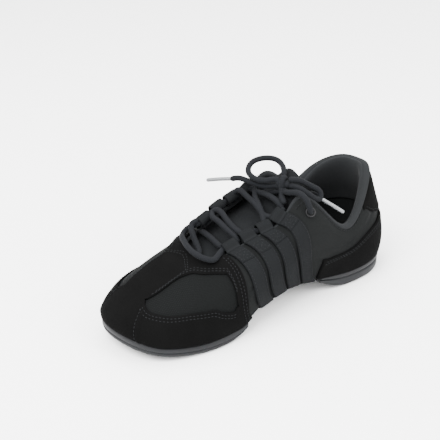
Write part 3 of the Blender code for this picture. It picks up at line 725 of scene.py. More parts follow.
# Height of the upper's lower edge above the floor: share of half the length, metres
FOOT_HEIGHTS = (
    (-1.02, FORE_SOLE + TOE_SPRING),
    (-0.80, FORE_SOLE + 0.36 * TOE_SPRING),
    (-0.55, 0.95 * FORE_SOLE + 0.02 * TOE_SPRING),
    (-0.34, 0.95 * FORE_SOLE),
    (-0.14, 0.86 * ARCH_RISE),
    (0.10, ARCH_RISE),
    (0.31, 0.52 * ARCH_RISE + 0.42 * HEEL_SOLE),
    (0.60, 0.97 * HEEL_SOLE),
    (1.02, 1.08 * HEEL_SOLE),
)

# About how long one step round the shoe and the whole way up it are
ROUND_STEP = 0.026
WAY_UP = 0.075

# How far to both sides of a place its slopes are read: the lower edge's, and the face's
EDGE_NUDGE = 0.05
U_NUDGE = 0.02
V_NUDGE = 0.01


@dataclass(frozen=True)
class Crease:
    """A soft trough with a low ridge on both sides, between two places of the upper."""

    start: Pair
    end: Pair
    width: float
    depth: float
    ridge: float = 0.55
    ridge_off: float = 1.9
    fade: float = 0.08

    def height(self, u: Array, v: Array) -> Array:
        """How far the crease moves the face.

        Args:
            u: Places round the shoe.
            v: Places up it.

        Returns:
            The move out of the face at each place.
        """
        scale = np.array((ROUND_STEP, WAY_UP))
        first, last = np.array(self.start) * scale, np.array(self.end) * scale
        spot = np.stack([u, v], axis=-1) * scale
        way = last - first
        held = np.clip(((spot - first) @ way) / (way @ way), 0, 1)
        off = np.linalg.norm(spot - first - held[..., None] * way, axis=-1)
        fade = np.sin(np.pi * (self.fade + (1 - 2 * self.fade) * held))
        trough = np.exp(-((off / self.width) ** 2))
        ridge = np.exp(-((off / self.width - self.ridge_off) ** 2))
        return self.depth * fade * (self.ridge * ridge - trough)


# Creases as the shoe wears them: the quarter over the heel sole, the collar's dip,
# the vamp across the toe's suede, and the soft panel before the first strap
CREASES = (
    Crease((4.55, 0.42), (3.75, 0.60), 0.0022, 0.0006),
    Crease((4.45, 0.30), (3.85, 0.36), 0.0018, 0.0005),
    Crease((4.9, 0.62), (4.2, 0.80), 0.0024, 0.0006),
    Crease((3.3, 0.60), (2.5, 0.72), 0.0026, 0.0005),
    Crease((2.2, 0.66), (1.2, 0.70), 0.0026, 0.0004),
    Crease((9.7, 0.90), (12.3, 0.90), 0.0028, 0.0006),
    Crease((10.2, 0.74), (11.9, 0.78), 0.0030, 0.0005),
    Crease((8.0, 0.86), (7.3, 0.55), 0.0024, 0.0005),
    Crease((7.6, 0.30), (7.0, 0.60), 0.0026, 0.0005),
    Crease((9.3, 0.28), (8.5, 0.25), 0.0024, 0.0005),
    Crease((13.0, 0.28), (13.9, 0.26), 0.0024, 0.0005),
    Crease((18.0, 0.50), (18.8, 0.66), 0.0024, 0.0006),
    Crease((19.2, 0.60), (20.4, 0.70), 0.0026, 0.0005),
)


class Last:
    """The surface that every piece of the upper is read from.

    The place u runs round the shoe and v up it, and the offset is out of the face.
    """

    def __init__(self) -> None:
        """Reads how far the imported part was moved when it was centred."""
        self.shift = np.zeros(3)
        columns = [(r.top_out * HALF_WIDTH, r.top_along * HALF_LENGTH, *r[4:]) for r in PROFILES]
        self.columns = np.array(columns)
        self.plan = np.array([(r.foot_out, r.foot_along) for r in PROFILES])
        round_shoe = np.arange(PACKED_COLUMNS) * TURN / PACKED_COLUMNS
        u, v = np.meshgrid(round_shoe, np.arange(PACKED_ROWS + 1) / PACKED_ROWS)
        faces = [self.face(u.ravel(), v.ravel(), depth, creased=False) for depth in (0.0, -WALL)]
        made = np.concatenate(faces)
        middle = (made.min(axis=0) + made.max(axis=0)) / 2
        packed = np.mean(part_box("upper"), axis=0)
        self.shift = np.array((*(packed - middle)[:2], 0.0))
        dense = np.linspace(0, TURN, 200 * TURN, endpoint=False)
        along = self.foot_line(dense)[:, 1]
        self.toe_u, self.heel_u = dense[along.argmin()], dense[along.argmax()]
        self.toe_y, self.heel_y = along.min(), along.max()
        self.sides = {side: self.side_table(side) for side in Side}
        LOG.info("the packed part was moved by %s mm", np.round(self.shift / MM, 2))

    @staticmethod
    def foot_height(along: Array) -> Array:
        """The lower edge of the upper above the floor, at y before centring."""
        return smooth_through(FOOT_HEIGHTS, np.asarray(along) / HALF_LENGTH)

    def foot_line(self, u: Array) -> Array:
        """The lower edge of the upper, before centring."""
        plan = periodic_spline(self.plan, u) * (HALF_WIDTH, HALF_LENGTH)
        return np.concatenate([plan, self.foot_height(plan[..., 1])[..., None]], axis=-1)

    def outward(self, u: Array) -> Array:
        """Finds the level direction out of the shoe, square to its lower edge.

        Args:
            u: Places round the shoe.

        Returns:
            The directions, of length one.
        """
        ahead, behind = (self.foot_line(np.asarray(u) + k) for k in (EDGE_NUDGE, -EDGE_NUDGE))
        step = ahead - behind
        return -unit(np.stack([step[..., 1], -step[..., 0], 0 * step[..., 0]], axis=-1))

    def plain(self, u: Array, v: Array) -> Array:
        """The outer face with no offset, before centring.

        Args:
            u: Places round the shoe.
            v: Places up it.

        Returns:
            The points: a cubic curve from the lower edge to the upper one at each u.
        """
        read = periodic_spline(self.columns, u)
        foot, top = self.foot_line(u), read[..., :3]
        height = (top - foot)[..., 2:]
        rise, flare, spread, drop = (read[..., k : k + 1] * height for k in range(3, 7))
        out, up = self.outward(u), np.array((0.0, 0.0, 1.0))
        low = foot + rise * up + flare * out
        high = top + spread * out - drop * up
        v = np.asarray(v, float)[..., None]
        w = 1 - v
        return w**3 * foot + 3 * w**2 * v * low + 3 * w * v**2 * high + v**3 * top

    def slopes(self, u: Array, v: Array) -> tuple[Array, Array]:
        """Measures how the outer face runs.

        Args:
            u: Places round the shoe.
            v: Places up it.

        Returns:
            How fast the face moves with u, and with v.
        """
        u, v = np.broadcast_arrays(np.asarray(u, float), np.asarray(v, float))
        by_u = (self.plain(u + U_NUDGE, v) - self.plain(u - U_NUDGE, v)) / (2 * U_NUDGE)
        by_v = (self.plain(u, v + V_NUDGE) - self.plain(u, v - V_NUDGE)) / (2 * V_NUDGE)
        return by_u, by_v

    def normal(self, u: Array, v: Array) -> Array:
        """The direction out of the outer face."""
        by_u, by_v = self.slopes(u, v)
        return unit(np.cross(by_v, by_u))

    def face(
        self, u: Array | float, v: Array | float, offset: Array | float = 0.0, creased: bool = True
    ) -> Array:
        """Points of the upper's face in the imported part's frame.

        Args:
            u: Places round the shoe.
            v: Places up it.
            offset: Metres out of the face.
            creased: Whether the worn-in creases move the face.

        Returns:
            The points, in metres.
        """
        u, v = np.broadcast_arrays(np.asarray(u, float), np.asarray(v, float))
        off = np.broadcast_to(np.asarray(offset, float), u.shape).copy()
        if creased:
            turned = np.mod(u, TURN)
            for crease in CREASES:
                off += crease.height(turned, v)
        return self.plain(u, v) + off[..., None] * self.normal(u, v) + self.shift

    def side_table(self, side: Side) -> tuple[Array, Array]:
        """Tabulates one side of the lower edge from the heel to the toe.

        Args:
            side: The side of the foot.

        Returns:
            The heights along the shoe, rising, and their places round it.
        """
        heel = (self.heel_u + TOE) % TURN - TOE
        u = np.linspace(heel if side is Side.OUTER else heel + TURN, self.toe_u, 1200)
        line = self.foot_line(u)
        order = np.argsort(line[:, 1])
        return line[order, 1], u[order]

    def side_u(self, along: Array, side: Side) -> Array:
        """The place round the shoe where one side of its lower edge lies at y."""
        return np.interp(along, *self.sides[side])

    def beside(self, y: float, v: float, side: Side) -> float:
        """Finds a height along the shoe on one side of the upper.

        Args:
            y: The height along the shoe, before centring.
            v: How high up the upper.
            side: The side of the foot.

        Returns:
            The place round the shoe.
        """
        u = np.linspace(2.0, TOE - 1.0, 300)
        u = u if side is Side.OUTER else TURN - u
        return float(np.interp(-y, -self.plain(u, v)[:, 1], u))


def skin_uv(first: float, last: float) -> Place:
    """Texture coordinates on the last, from one place round it along a to another."""
    return lambda a, b: np.stack([(first + a * (last - first)) * ROUND_STEP, b * WAY_UP], axis=-1)


# The lining's closed section: how high up the last, and the share of the padding's depth
LINING_SECTION = np.array(
    (
        (0.50, 0.04), (0.75, 0.04), (0.97, 0.04), (1.02, 0.16), (1.035, 0.55),
        (0.99, 0.95), (0.88, 1.02), (0.75, 0.86), (0.62, 0.50), (0.50, 0.18),
    )
)
# How full the rim's binding is, by the steps round the shoe from the heel
BINDING_FULLNESS = ((0, 1.25), (3.4, 1.15), (4.8, 1), (5.8, 0.60), (9, 0.50), (11, 0.45))


@dataclass
class Shell:
    """The fabric upper, its padded lining and the binding on its rim."""

    last: Last
    cells: tuple[int, int] = (352, 46)
    puff: float = 0.0010
    puff_height: float = 0.84
    puff_width: float = 0.13
    puff_end: float = 5.0
    puff_fade: float = 0.8
    mesh_end: float = 0.088
    lining_cells: tuple[int, int] = (40, 180)
    lining_reach: float = 4.4
    lining_girth: float = 0.09
    lining_taper: float = 0.05
    lining_tip: float = 0.12
    binding_cells: tuple[int, int] = (14, 420)
    binding_out: float = 0.0027
    binding_up: float = 0.0023
    binding_sunk: float = 0.0005
    binding_girth: float = 0.012

    def build(self) -> None:
        """Makes the shell's pieces."""
        self.upper()
        self.lining()
        self.binding()

    def padding(self, u: Array, v: Array) -> Array:
        """Swells the face over the padded collar.

        Args:
            u: Places round the shoe.
            v: Places up it.

        Returns:
            The move out of the face at each place.
        """
        away = np.minimum(np.mod(u, TURN), TURN - np.mod(u, TURN))
        near = np.clip((self.puff_end - away) / self.puff_fade, 0, 1)
        return self.puff * near * np.exp(-(((v - self.puff_height) / self.puff_width) ** 2))

    def upper(self) -> None:
        """The quarter and vamp fabric, one hollow wall, with mesh under the toe suede."""

        def place(a: Array, b: Array, depth: float) -> Array:
            """The upper's face, swelled by the collar's padding."""
            u = a * TURN
            return self.last.face(u, b, depth + self.padding(u, b))

        uv = skin_uv(0, TURN)
        made = add_wall("upper_fabric", QUARTER_KNIT, self.cells, place, WALL, uv, nodes=["upper"])
        made.data.materials.append(AIR_MESH.build())
        end = self.last.toe_y + self.last.shift[1] + self.mesh_end
        for face in made.data.polygons:
            face.material_index = int(face.center.y < end)

    def lining(self) -> None:
        """The padded jersey inside the collar."""
        reach = self.lining_reach

        def place(a: Array, b: Array) -> Array:
            """Places the lining's skin, flattened towards its two ends.

            Args:
                a: Shares round its section.
                b: Shares round the heel.

            Returns:
                The points, in metres.
            """
            up, deep = periodic_spline(LINING_SECTION, a * len(LINING_SECTION)).T
            ends = (1 - np.abs(2 * b - 1)) / self.lining_taper
            depth = WALL + GAP + PAD * deep * np.clip(ends, self.lining_tip, 1) ** 0.5
            return self.last.face((2 * b - 1) * reach, up, -depth, creased=False)

        bm = grid(*self.lining_cells, place, turned_uv(self.lining_girth, 2 * reach * ROUND_STEP))
        weld(bm)
        close_rims(bm)
        made = add_piece("collar_lining", bm, LINING_JERSEY, ["collar_padding"])

    def binding(self) -> None:
        """The rolled binding on the rim, fuller round the collar than at the throat."""

        def place(a: Array, b: Array) -> Array:
            """Places the roll's skin on the upper's rim.

            Args:
                a: Shares round the roll.
                b: Shares round the shoe.

            Returns:
                The points, in metres.
            """
            u, turn = b * TURN, 2 * np.pi * a
            full = smooth_through(BINDING_FULLNESS, np.minimum(u, TURN - u))
            _, by_v = self.last.slopes(u, 1.0)
            out = self.last.normal(u, 1.0)
            up = unit(by_v - np.sum(by_v * out, axis=-1, keepdims=True) * out)
            sunk = -0.5 * WALL - self.binding_sunk * full
            middle = self.last.face(u, 1.0, sunk, creased=False)
            wide = (self.binding_out * full * np.cos(turn))[:, None] * out
            high = (self.binding_up * full * np.sin(turn))[:, None] * up
            return middle + wide + high

        bm = grid(*self.binding_cells, place, turned_uv(self.binding_girth, TURN * ROUND_STEP))
        weld(bm)
        add_piece("rim_binding", bm, LINING_JERSEY)


# A row for each place round the toe suede: the lower and upper edges of its mesh inset
INSET = (
    (6.8, 0.34, 0.34), (7.3, 0.34, 0.34), (7.5, 0.29, 0.52), (7.9, 0.32, 0.67),
    (8.6, 0.40, 0.78), (9.2, 0.41, 0.82), (9.8, 0.38, 0.82), (10.2, 0.37, 0.74),
    (10.45, 0.41, 0.50), (10.55, 0.45, 0.45), (11.0, 0.45, 0.45),
)
# The counter's top edge and the heel tab's lower one, by the steps from the heel
COUNTER_TOP = ((0.0, 0.50), (1.3, 0.52), (2.1, 0.58), (2.9, 0.53), (3.6, 0.44), (4.1, 0.35))
TAB_FOOT = ((0.0, 0.545), (1.0, 0.565), (1.5, 0.70), (1.9, 0.90))

# Where the toe suede ends, how far the end leans back, and how far round the lean dies out
SUEDE_END = 6.80
SUEDE_LEAN = 1.60
LEAN_REACH = 1.7

# The raised seam from the inset's tip down to the sole: its foot and its slant
SEAM_FOOT = 10.20
SEAM_SLANT = 0.50


def suede_lean(side: Array, v: Array) -> Array:
    """How far a place round the toe suede moves back with its slanted end."""
    return SUEDE_LEAN * v * np.clip(1 - (side - SUEDE_END) / LEAN_REACH, 0, 1)


@dataclass
class Overlays:
    """The suede at the toe, counter and heel tab."""

    last: Last
    foot: float = 0.015
    tab_top: float = 0.985
    tab_bend: float = 0.90
    inset_fade: float = 0.08
    seam_top: float = 0.42
    seam_fade: float = 0.04
    roll: float = 0.0007
    roll_width: float = 0.0007
    ridge: float = 0.0005
    trough: float = 0.0004
    seam_width: float = 0.0008
    trough_off: float = 0.0019
    tab_tuck: float = 0.0013
    toe_columns: int = 252
    toe_low_rows: int = 22
    toe_high_rows: int = 24
    counter_cells: tuple[int, int] = (150, 26)
    tab_cells: tuple[int, int] = (80, 24)

    def build(self) -> None:
        """Makes the three suedes."""
        self.toe()
        self.counter()
        self.tab()

    def edge_roll(self, off: Array) -> Array:
        """How far a cut edge is rolled down, at a distance from it."""
        return self.roll * np.exp(-((off / self.roll_width) ** 2))

    def seam_ridge(self, side: Array, v: Array) -> Array:
        """How far the raised seam and the troughs beside it move the suede.

        Args:
            side: Places round the toe, as on the outer side.
            v: Places up it.

        Returns:
            The move out of the face at each place.
        """
        off = (side - SEAM_FOOT - SEAM_SLANT * v) * ROUND_STEP
        fade = np.clip((self.seam_top - v) / self.seam_fade, 0, 1)
        ridge = self.ridge * np.exp(-((off / self.seam_width) ** 2))
        beside = (np.abs(off) - self.trough_off) / self.seam_width
        return fade * (ridge - self.trough * np.exp(-(beside**2)))

    def toe(self) -> None:
        """The toe suede, open over the mesh inset on both sides."""
        low_rows, high_rows = self.toe_low_rows, self.toe_high_rows
        all_rows = low_rows + high_rows + 1

        def place(a: Array, b: Array, depth: float) -> Array:
            """Places the lower rows of the suede up to the inset and the upper ones over it.

            Args:
                a: Shares round the toe.
                b: Shares up the suede.
                depth: 0 for the outer face, below 0 for the inner one.

            Returns:
                The points, in metres.
            """
            flat = SUEDE_END + a * 2 * (TOE - SUEDE_END)
            side = TOE - np.abs(flat - TOE)
            low, high = (smooth_through(INSET, side, column) for column in (1, 2))
            row = (b * all_rows).round()
            first = np.sin(0.5 * np.pi * np.clip(row / low_rows, 0, 1))
            second = 1 - np.cos(0.5 * np.pi * np.clip((row - low_rows - 1) / high_rows, 0, 1))
            lower = self.foot + (low - self.foot) * first
            upper = high + (1 - high) * second
            v = np.where(row <= low_rows, lower, upper)
            off = np.where(row <= low_rows, low - lower, upper - high) * WAY_UP
            open_here = np.clip((high - low) / self.inset_fade, 0, 1)
            lean = suede_lean(side, v)
            u = flat + np.where(flat < TOE, lean, -lean)
            rolled = self.edge_roll(off) * open_here
            rolled = rolled + self.edge_roll((side - SUEDE_END) * ROUND_STEP)
            face = OVERLAY_GAP + SUEDE - rolled + self.seam_ridge(side, v)
            return self.last.face(u, v, face if depth == 0 else UNDERSIDE)

        def keep(a: float, b: float) -> bool:
            """Whether a face isn't one of the row that closes the inset."""
            return abs(b * all_rows - low_rows - 0.5) > 0.4

        cells, uv = (self.toe_columns, all_rows), skin_uv(SUEDE_END, 2 * TOE - SUEDE_END)
        add_wall("toe_suede_cut", SUEDE_NAP, cells, place, SUEDE, uv, keep, ["toe_suede"])

    def counter(self) -> None:
        """The heel counter, curved along its top edge."""
        end = COUNTER_TOP[-1][0]

        def place(a: Array, b: Array, depth: float) -> Array:
            """Places the counter's face, from the sole up to its edge.

            Args:
                a: Shares round the heel.
                b: Shares up the counter.
                depth: 0 for the outer face, below 0 for the inner one.

            Returns:
                The points, in metres.
            """
            u = (2 * a - 1) * end
            high = smooth_through(COUNTER_TOP, np.abs(u))
            v = self.foot + np.sin(0.5 * np.pi * b) * (high - self.foot)
            off = np.minimum((high - v) * WAY_UP, (end - np.abs(u)) * ROUND_STEP)
            face = OVERLAY_GAP + SUEDE - self.edge_roll(off)
            return self.last.face(u, v, face if depth == 0 else UNDERSIDE)

        cells, uv, nodes = self.counter_cells, skin_uv(-end, end), ["heel_counter"]
        add_wall("heel_counter_cut", SUEDE_NAP, cells, place, SUEDE, uv, None, nodes)

    def tab(self) -> None:
        """The heel tab over the padded rim."""
        end = TAB_FOOT[-1][0]

        def place(a: Array, b: Array, depth: float) -> Array:
            """Places the tab's face, from its edge up to the rim, where it tucks in.

            Args:
                a: Shares round the heel.
                b: Shares up the tab.
                depth: 0 for the outer face, below 0 for the inner one.

            Returns:
                The points, in metres.
            """
            u = (2 * a - 1) * end
            low = smooth_through(TAB_FOOT, np.abs(u))
            v = low + (1 - np.cos(0.5 * np.pi * b)) * (self.tab_top - low)
            off = np.minimum((v - low) * WAY_UP, (end - np.abs(u)) * ROUND_STEP)
            over = np.clip((v - self.tab_bend) / (self.tab_top - self.tab_bend), 0, 1)
            face = OVERLAY_GAP + SUEDE - self.edge_roll(off) - self.tab_tuck * over**2
            return self.last.face(u, v, face if depth == 0 else UNDERSIDE)

        cells, uv = self.tab_cells, skin_uv(-end, end)
        add_wall("heel_tab_cut", SUEDE_NAP, cells, place, SUEDE, uv, None, ["heel_tab"])


@dataclass
class Tongue:
    """The padded tongue, tucked under the throat's edges and free at its head."""

    last: Last
    foot: float = 1.75
    head: float = 5.5
    opening: float = 0.66
    depth: float = 0.0070
    tuck_depth: float = WALL + 0.0011
    front_depth: float = WALL + 0.0008
    front_height: float = 0.88
    front_share: float = 0.035
    tuck: float = 0.12
    crown: float = 0.0030
    round_head: float = 0.35
    narrow: float = 0.40
    narrow_tip: float = 0.06
    narrow_rate: float = 2.2
    lean_back: float = 0.70
    lean_up: float = 0.71
    width: float = 0.06
    length: float = 0.11
    columns: int = 44
    rows: int = 60
    free_rows: int = 26

    def build(self) -> None:
        """Makes the tongue."""
        total = self.rows + self.free_rows
        bound = self.rows / total

        def place(a: Array, b: Array, depth: float) -> Array:
            """Places the tongue's face, held at its edges and free at its head.

            Args:
                a: Shares across the tongue.
                b: Shares from the vamp to the head.
                depth: 0 for the outer face, below 0 for the inner one.

            Returns:
                The points, in metres.
            """
            side = 2 * a - 1
            reach = self.foot + (self.head - self.foot) * np.clip(b / bound, 0, 1)
            edge = np.clip((np.abs(side) - self.opening) / (1 - self.opening), 0, 1)
            tuck = self.tuck * edge
            sunk = depth - self.tuck_depth - (self.depth - self.tuck_depth) * (1 - edge)
            edge_out = self.last.face(TOE - reach, 1 - tuck, sunk, creased=False)
            edge_in = self.last.face(TOE + reach, 1 - tuck, sunk, creased=False)
            across = np.clip(side / self.opening, -1, 1)
            spot = edge_in + (edge_out - edge_in) * (0.5 + 0.5 * across)[:, None]
            spot[:, 2] += self.crown * (1 - across**2)
            front = np.clip(1 - b / self.front_share, 0, 1)
            low = depth - self.front_depth
            tip = self.last.face(TOE - side * reach, self.front_height, low, creased=False)
            spot = spot + (tip - spot) * (front**2 * (3 - 2 * front))[:, None]
            free = np.clip((b - bound) / (1 - bound), 0, 1)
            narrow = self.narrow * np.clip(self.narrow_rate * free, 0, 1)
            narrow += self.narrow_tip * free**3
            spot[:, 0] -= (spot[:, 0] - self.last.shift[0]) * narrow
            spot[:, 1] += self.lean_back * TONGUE_LENGTH * free
            round_off = self.round_head * free**2 * side**2
            spot[:, 2] += self.lean_up * TONGUE_LENGTH * free * (1 - round_off)
            return spot

        cells, uv = (self.columns, total), flat_uv(self.width, self.length)
        made = add_wall("tongue_jersey", TONGUE_JERSEY, cells, place, TONGUE, uv, None, ["tongue"])


@dataclass
class Footbed:
    """The foam insole, dished a little and filling the outline."""

    last: Last
    margin: float = WALL + 8 * GAP
    end_margin: float = 0.0006
    rise: float = BASE + 2.5 * GAP + INSOLE
    squareness: int = 14
    width: float = 0.08
    dish: float = 0.0010
    cells: tuple[int, int] = (30, 80)

    def side_x(self, y: Array, side: Side) -> Array:
        """How far out one side of the insole lies at y, before centring."""
        u = self.last.side_u(y, side)
        return (self.last.foot_line(u) - self.margin * self.last.outward(u))[:, 0]

    def build(self) -> None:
        """Makes the insole."""
        last, margin = self.last, self.margin + self.end_margin
        low, high = last.toe_y + margin, last.heel_y - margin

        def place(a: Array, b: Array, depth: float) -> Array:
            """Places the insole's face.

            Args:
                a: Shares across the shoe.
                b: Shares from the toe to the heel.
                depth: 0 for the outer face, below 0 for the inner one.

            Returns:
                The points, in metres.
            """
            y = low + (high - low) * (1 - np.cos(np.pi * b)) / 2
            left, right = self.side_x(y, Side.INNER), self.side_x(y, Side.OUTER)
            squeeze = np.sqrt(np.clip(1 - (2 * b - 1) ** self.squareness, 0, 1))
            x = (left + right) / 2 + (a - 0.5) * (right - left) * squeeze
            dish = self.dish * (1 - (2 * a - 1) ** 2) * (depth == 0)
            top = last.foot_height(y) + self.rise - dish
            return np.stack([x, y, top + depth], axis=1) + last.shift

        uv = flat_uv(self.width, LENGTH)
        made = add_wall("footbed", FOOTBED, self.cells, place, INSOLE, uv, None, ["insole"])


STRAP_COUNT = 4
LOOP_RADIUS = LACE / 2 + WEBBING / 2 + 0.0009
# How steeply each side's loops lift, and how far each stands off the throat from the toe on
LOOP_LIFT = {Side.OUTER: np.radians(22), Side.INNER: np.radians(50)}
LOOP_REACHES = {
    Side.OUTER: (0.0042, 0.0042, 0.0042, 0.0042),
    Side.INNER: (0.0085, 0.0085, 0.0078, 0.0050),
}


@dataclass
class Strap:
    """One webbing strap, from under the arch up to the loop that holds the lace."""

    last: Last
    number: int
    side: Side
    foot_clearance: float = 0.0136
    head_start: float = -0.281 * HALF_LENGTH
    head_pitch: float = 0.95 * WEBBING_PITCH
    taper: float = 0.12
    edge_drop: float = 0.0004
    turn_under: float = 0.008
    loop_turn: float = 1.45 * np.pi
    fold_foot: float = 0.80
    fold_height: float = 0.185
    fold_rise: float = 0.0006
    fold_width: float = 0.97
    fold_sunk: float = 0.0002
    box_half: float = 0.34 * WEBBING_WIDTH
    box_foot: float = 0.825
    box_top: float = 0.935
    seam_foot: float = 0.04
    seam_off: float = 0.40
    length: float = 0.090
    fold_length: float = 0.013
    edge_power: int = 8
    end_power: int = 12
    columns: int = 12
    under: int = 8
    rise: int = 56
    bend: int = 26
    fold_rows: int = 14

    def __post_init__(self) -> None:
        """Works out where the strap runs and where its loop stands."""
        last = self.last
        arch_start = last.toe_y + FORE_SOLE_LENGTH
        foot = arch_start + self.foot_clearance + (self.number - 0.5) * WEBBING_PITCH
        head = self.head_start + (self.number - 0.5) * self.head_pitch
        self.foot_u = last.beside(foot, 0.0, self.side)
        self.head_u = last.beside(head, 1.0, self.side)
        by_u, by_v = last.slopes(self.head_u, 1.0)
        self.along = unit(by_u) * (1 if by_u[1] > 0 else -1)
        normal = last.normal(self.head_u, 1.0)
        onward = unit(by_v - (by_v @ self.along) * self.along)
        angle = LOOP_LIFT[self.side]
        self.onward = np.cos(angle) * onward + np.sin(angle) * normal
        self.out = np.cos(angle) * normal - np.sin(angle) * onward
        edge = last.face(self.head_u, 1.0, GAP + WEBBING / 2, creased=False)
        reach = LOOP_REACHES[self.side][self.number - 1]
        self.centre = edge + reach * self.onward - LOOP_RADIUS * self.out

    @property
    def name(self) -> str:
        """The strap's name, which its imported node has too."""
        return f"strap_{self.side.name.lower()}_{self.number}"

    def across(self, v: Array, wide: Array) -> Array:
        """Finds places on the strap.

        Args:
            v: Heights up it.
            wide: Distances from its middle line.

        Returns:
            The places round the shoe.
        """
        u = self.foot_u + (self.head_u - self.foot_u) * v
        by_u, _ = self.last.slopes(u, v)
        return u - self.side.value * wide / np.linalg.norm(by_u, axis=-1)

    def row(self, wide: Array, v: Array) -> Array:
        """A seam on the strap as rows of (u, v), at distances across it and heights up it."""
        return np.stack([self.across(v, wide), v], axis=1)

    def build(self) -> None:
        """Makes the strap and the stitched end of its fold."""
        self.band()
        self.fold()

    def band(self) -> None:
        """The strap under the arch, up the side and round the loop."""
        last, steps = self.last, self.under + self.rise + self.bend

        def place(a: Array, b: Array, depth: float) -> Array:
            """Places the strap's face under the arch, up the side and round the loop.

            Args:
                a: Shares across the strap.
                b: Shares up it.
                depth: 0 for the outer face, below 0 for the inner one.

            Returns:
                The points, in metres.
            """
            step = (b * steps).round()
            v = np.clip((step - self.under) / self.rise, 0, 1)
            wide = (a - 0.5) * WEBBING_WIDTH * (1 - self.taper * v)
            u = self.across(v, wide)
            edge_drop = self.edge_drop * np.abs(2 * a - 1) ** self.edge_power * (depth == 0)
            proud = np.where(depth == 0, OVERLAY_GAP + WEBBING - edge_drop, UNDERSIDE)
            side_face = last.face(u, v, proud, creased=False)
            tucked = np.clip((self.under - step) / self.under, 0, 1) * self.turn_under
            low = last.foot_line(u) - tucked[:, None] * last.outward(u)
            low[:, 2] = last.foot_height(low[:, 1]) - (OVERLAY_GAP + WEBBING + depth)
            turn = np.clip((step - self.under - self.rise) / self.bend, 0, 1)
            angle = np.pi / 2 - turn * self.loop_turn
            radius = LOOP_RADIUS + WEBBING / 2 + depth * WEBBING / (WEBBING + OVERLAY_GAP)
            spoke = np.cos(angle)[:, None] * self.onward + np.sin(angle)[:, None] * self.out
            bent = self.centre + (radius - edge_drop)[:, None] * spoke
            bent = bent + wide[:, None] * self.along
            spot = np.where((step < self.under)[:, None], low + last.shift, side_face)
            return np.where((step > self.under + self.rise)[:, None], bent, spot)

        thick, uv = WEBBING + OVERLAY_GAP, flat_uv(WEBBING_WIDTH, self.length)
        name, cells, nodes = self.name + "_webbing", (self.columns, steps), [self.name]
        add_wall(name, RIBBED_WEBBING, cells, place, thick, uv, None, nodes)

    def fold(self) -> None:
        """The strap's end, turned back over itself below the loop."""
        floor = OVERLAY_GAP + WEBBING - self.fold_sunk

        def place(a: Array, b: Array, depth: float) -> Array:
            """Places the fold's face, rolled down at its edges.

            Args:
                a: Shares across the strap.
                b: Shares up the fold.
                depth: 0 for the outer face, below 0 for the inner one.

            Returns:
                The points, in metres.
            """
            v = self.fold_foot + self.fold_height * b
            wide = (a - 0.5) * WEBBING_WIDTH * (1 - self.taper * v) * self.fold_width
            across, end = np.abs(2 * a - 1) ** self.edge_power, np.abs(1 - b) ** self.end_power
            edge = np.maximum(across, end)
            face = OVERLAY_GAP + WEBBING + self.fold_rise - self.edge_drop * edge
            u = self.across(v, wide)
            return self.last.face(u, v, face if depth == 0 else floor, creased=False)

        cells, uv = (self.columns, self.fold_rows), flat_uv(WEBBING_WIDTH, self.fold_length)
        add_wall(self.name + "_fold", RIBBED_WEBBING, cells, place, WEBBING, uv)

    def seams(self) -> list[Array]:
        """Lays out the crossed box of stitches that holds the fold.

        Returns:
            Its six rows, each as places (u, v).
        """
        half, foot, top = self.box_half, self.box_foot, self.box_top
        corners = np.array([(-half, foot), (half, foot), (half, top), (-half, top)])
        rows = [(0, 1), (1, 2), (2, 3), (3, 0), (0, 2), (1, 3)]
        share = np.linspace(0, 1, 12)[:, None]
        lines = [corners[i] + (corners[k] - corners[i]) * share for i, k in rows]
        return [self.row(*line.T) for line in lines]

    def edge_seams(self) -> list[Array]:
        """Lays out the stitches along both edges, below the fold.

        Returns:
            The two rows, each as places (u, v).
        """
        v = np.linspace(self.seam_foot, self.fold_foot, 30)
        width = WEBBING_WIDTH * (1 - self.taper * v)
        return [self.row(share * width, v) for share in (-self.seam_off, self.seam_off)]


class SoleCut(NamedTuple):
    """A rubber sole: its name, edge section, ends and flex grooves."""

    name: str
    side_steps: tuple[Pair, ...]
    tip_is_toe: bool
    length: float
    grooves: tuple[float, ...]


# Along the shoe, in shares of half its length: where the toe's spring, the rise before the
# arch and the heel's bevel start, and how far each runs; then the wedge's ramp
SPRING_START, SPRING_RUN = -0.48, 0.52
TAIL_START, TAIL_RUN = -0.30, 0.14
BEVEL_START, BEVEL_RUN = 0.90, 0.10
WEDGE_RUN = 0.22
# The middles of the smooth turning spots under the ball and the heel
BALL_SPOT, HEEL_SPOT = -0.56, 0.72

# Each sole's edge from top to tread: the share of its height, metres in from the edge
FORE_STEPS = (
    (1.00, 0.0010), (0.93, 0.0004), (0.86, 0.0001), (0.70, 0.0000), (0.57, 0.0000),
    (0.53, 0.0003), (0.50, 0.0009), (0.46, 0.0009), (0.43, 0.0003), (0.39, 0.0000),
    (0.28, 0.0002), (0.17, 0.0005), (0.08, 0.0012), (0.02, 0.0022), (0.00, 0.0032),
)
HEEL_STEPS = (
    (1.00, 0.0006), (0.95, 0.0001), (0.90, 0.0000), (0.76, 0.0000), (0.73, 0.0004),
    (0.70, 0.0016), (0.66, 0.0019), (0.62, 0.0019), (0.58, 0.0015), (0.55, 0.0006),
    (0.50, 0.0004), (0.34, 0.0004), (0.20, 0.0005), (0.09, 0.0010), (0.02, 0.0020),
    (0.00, 0.0030),
)


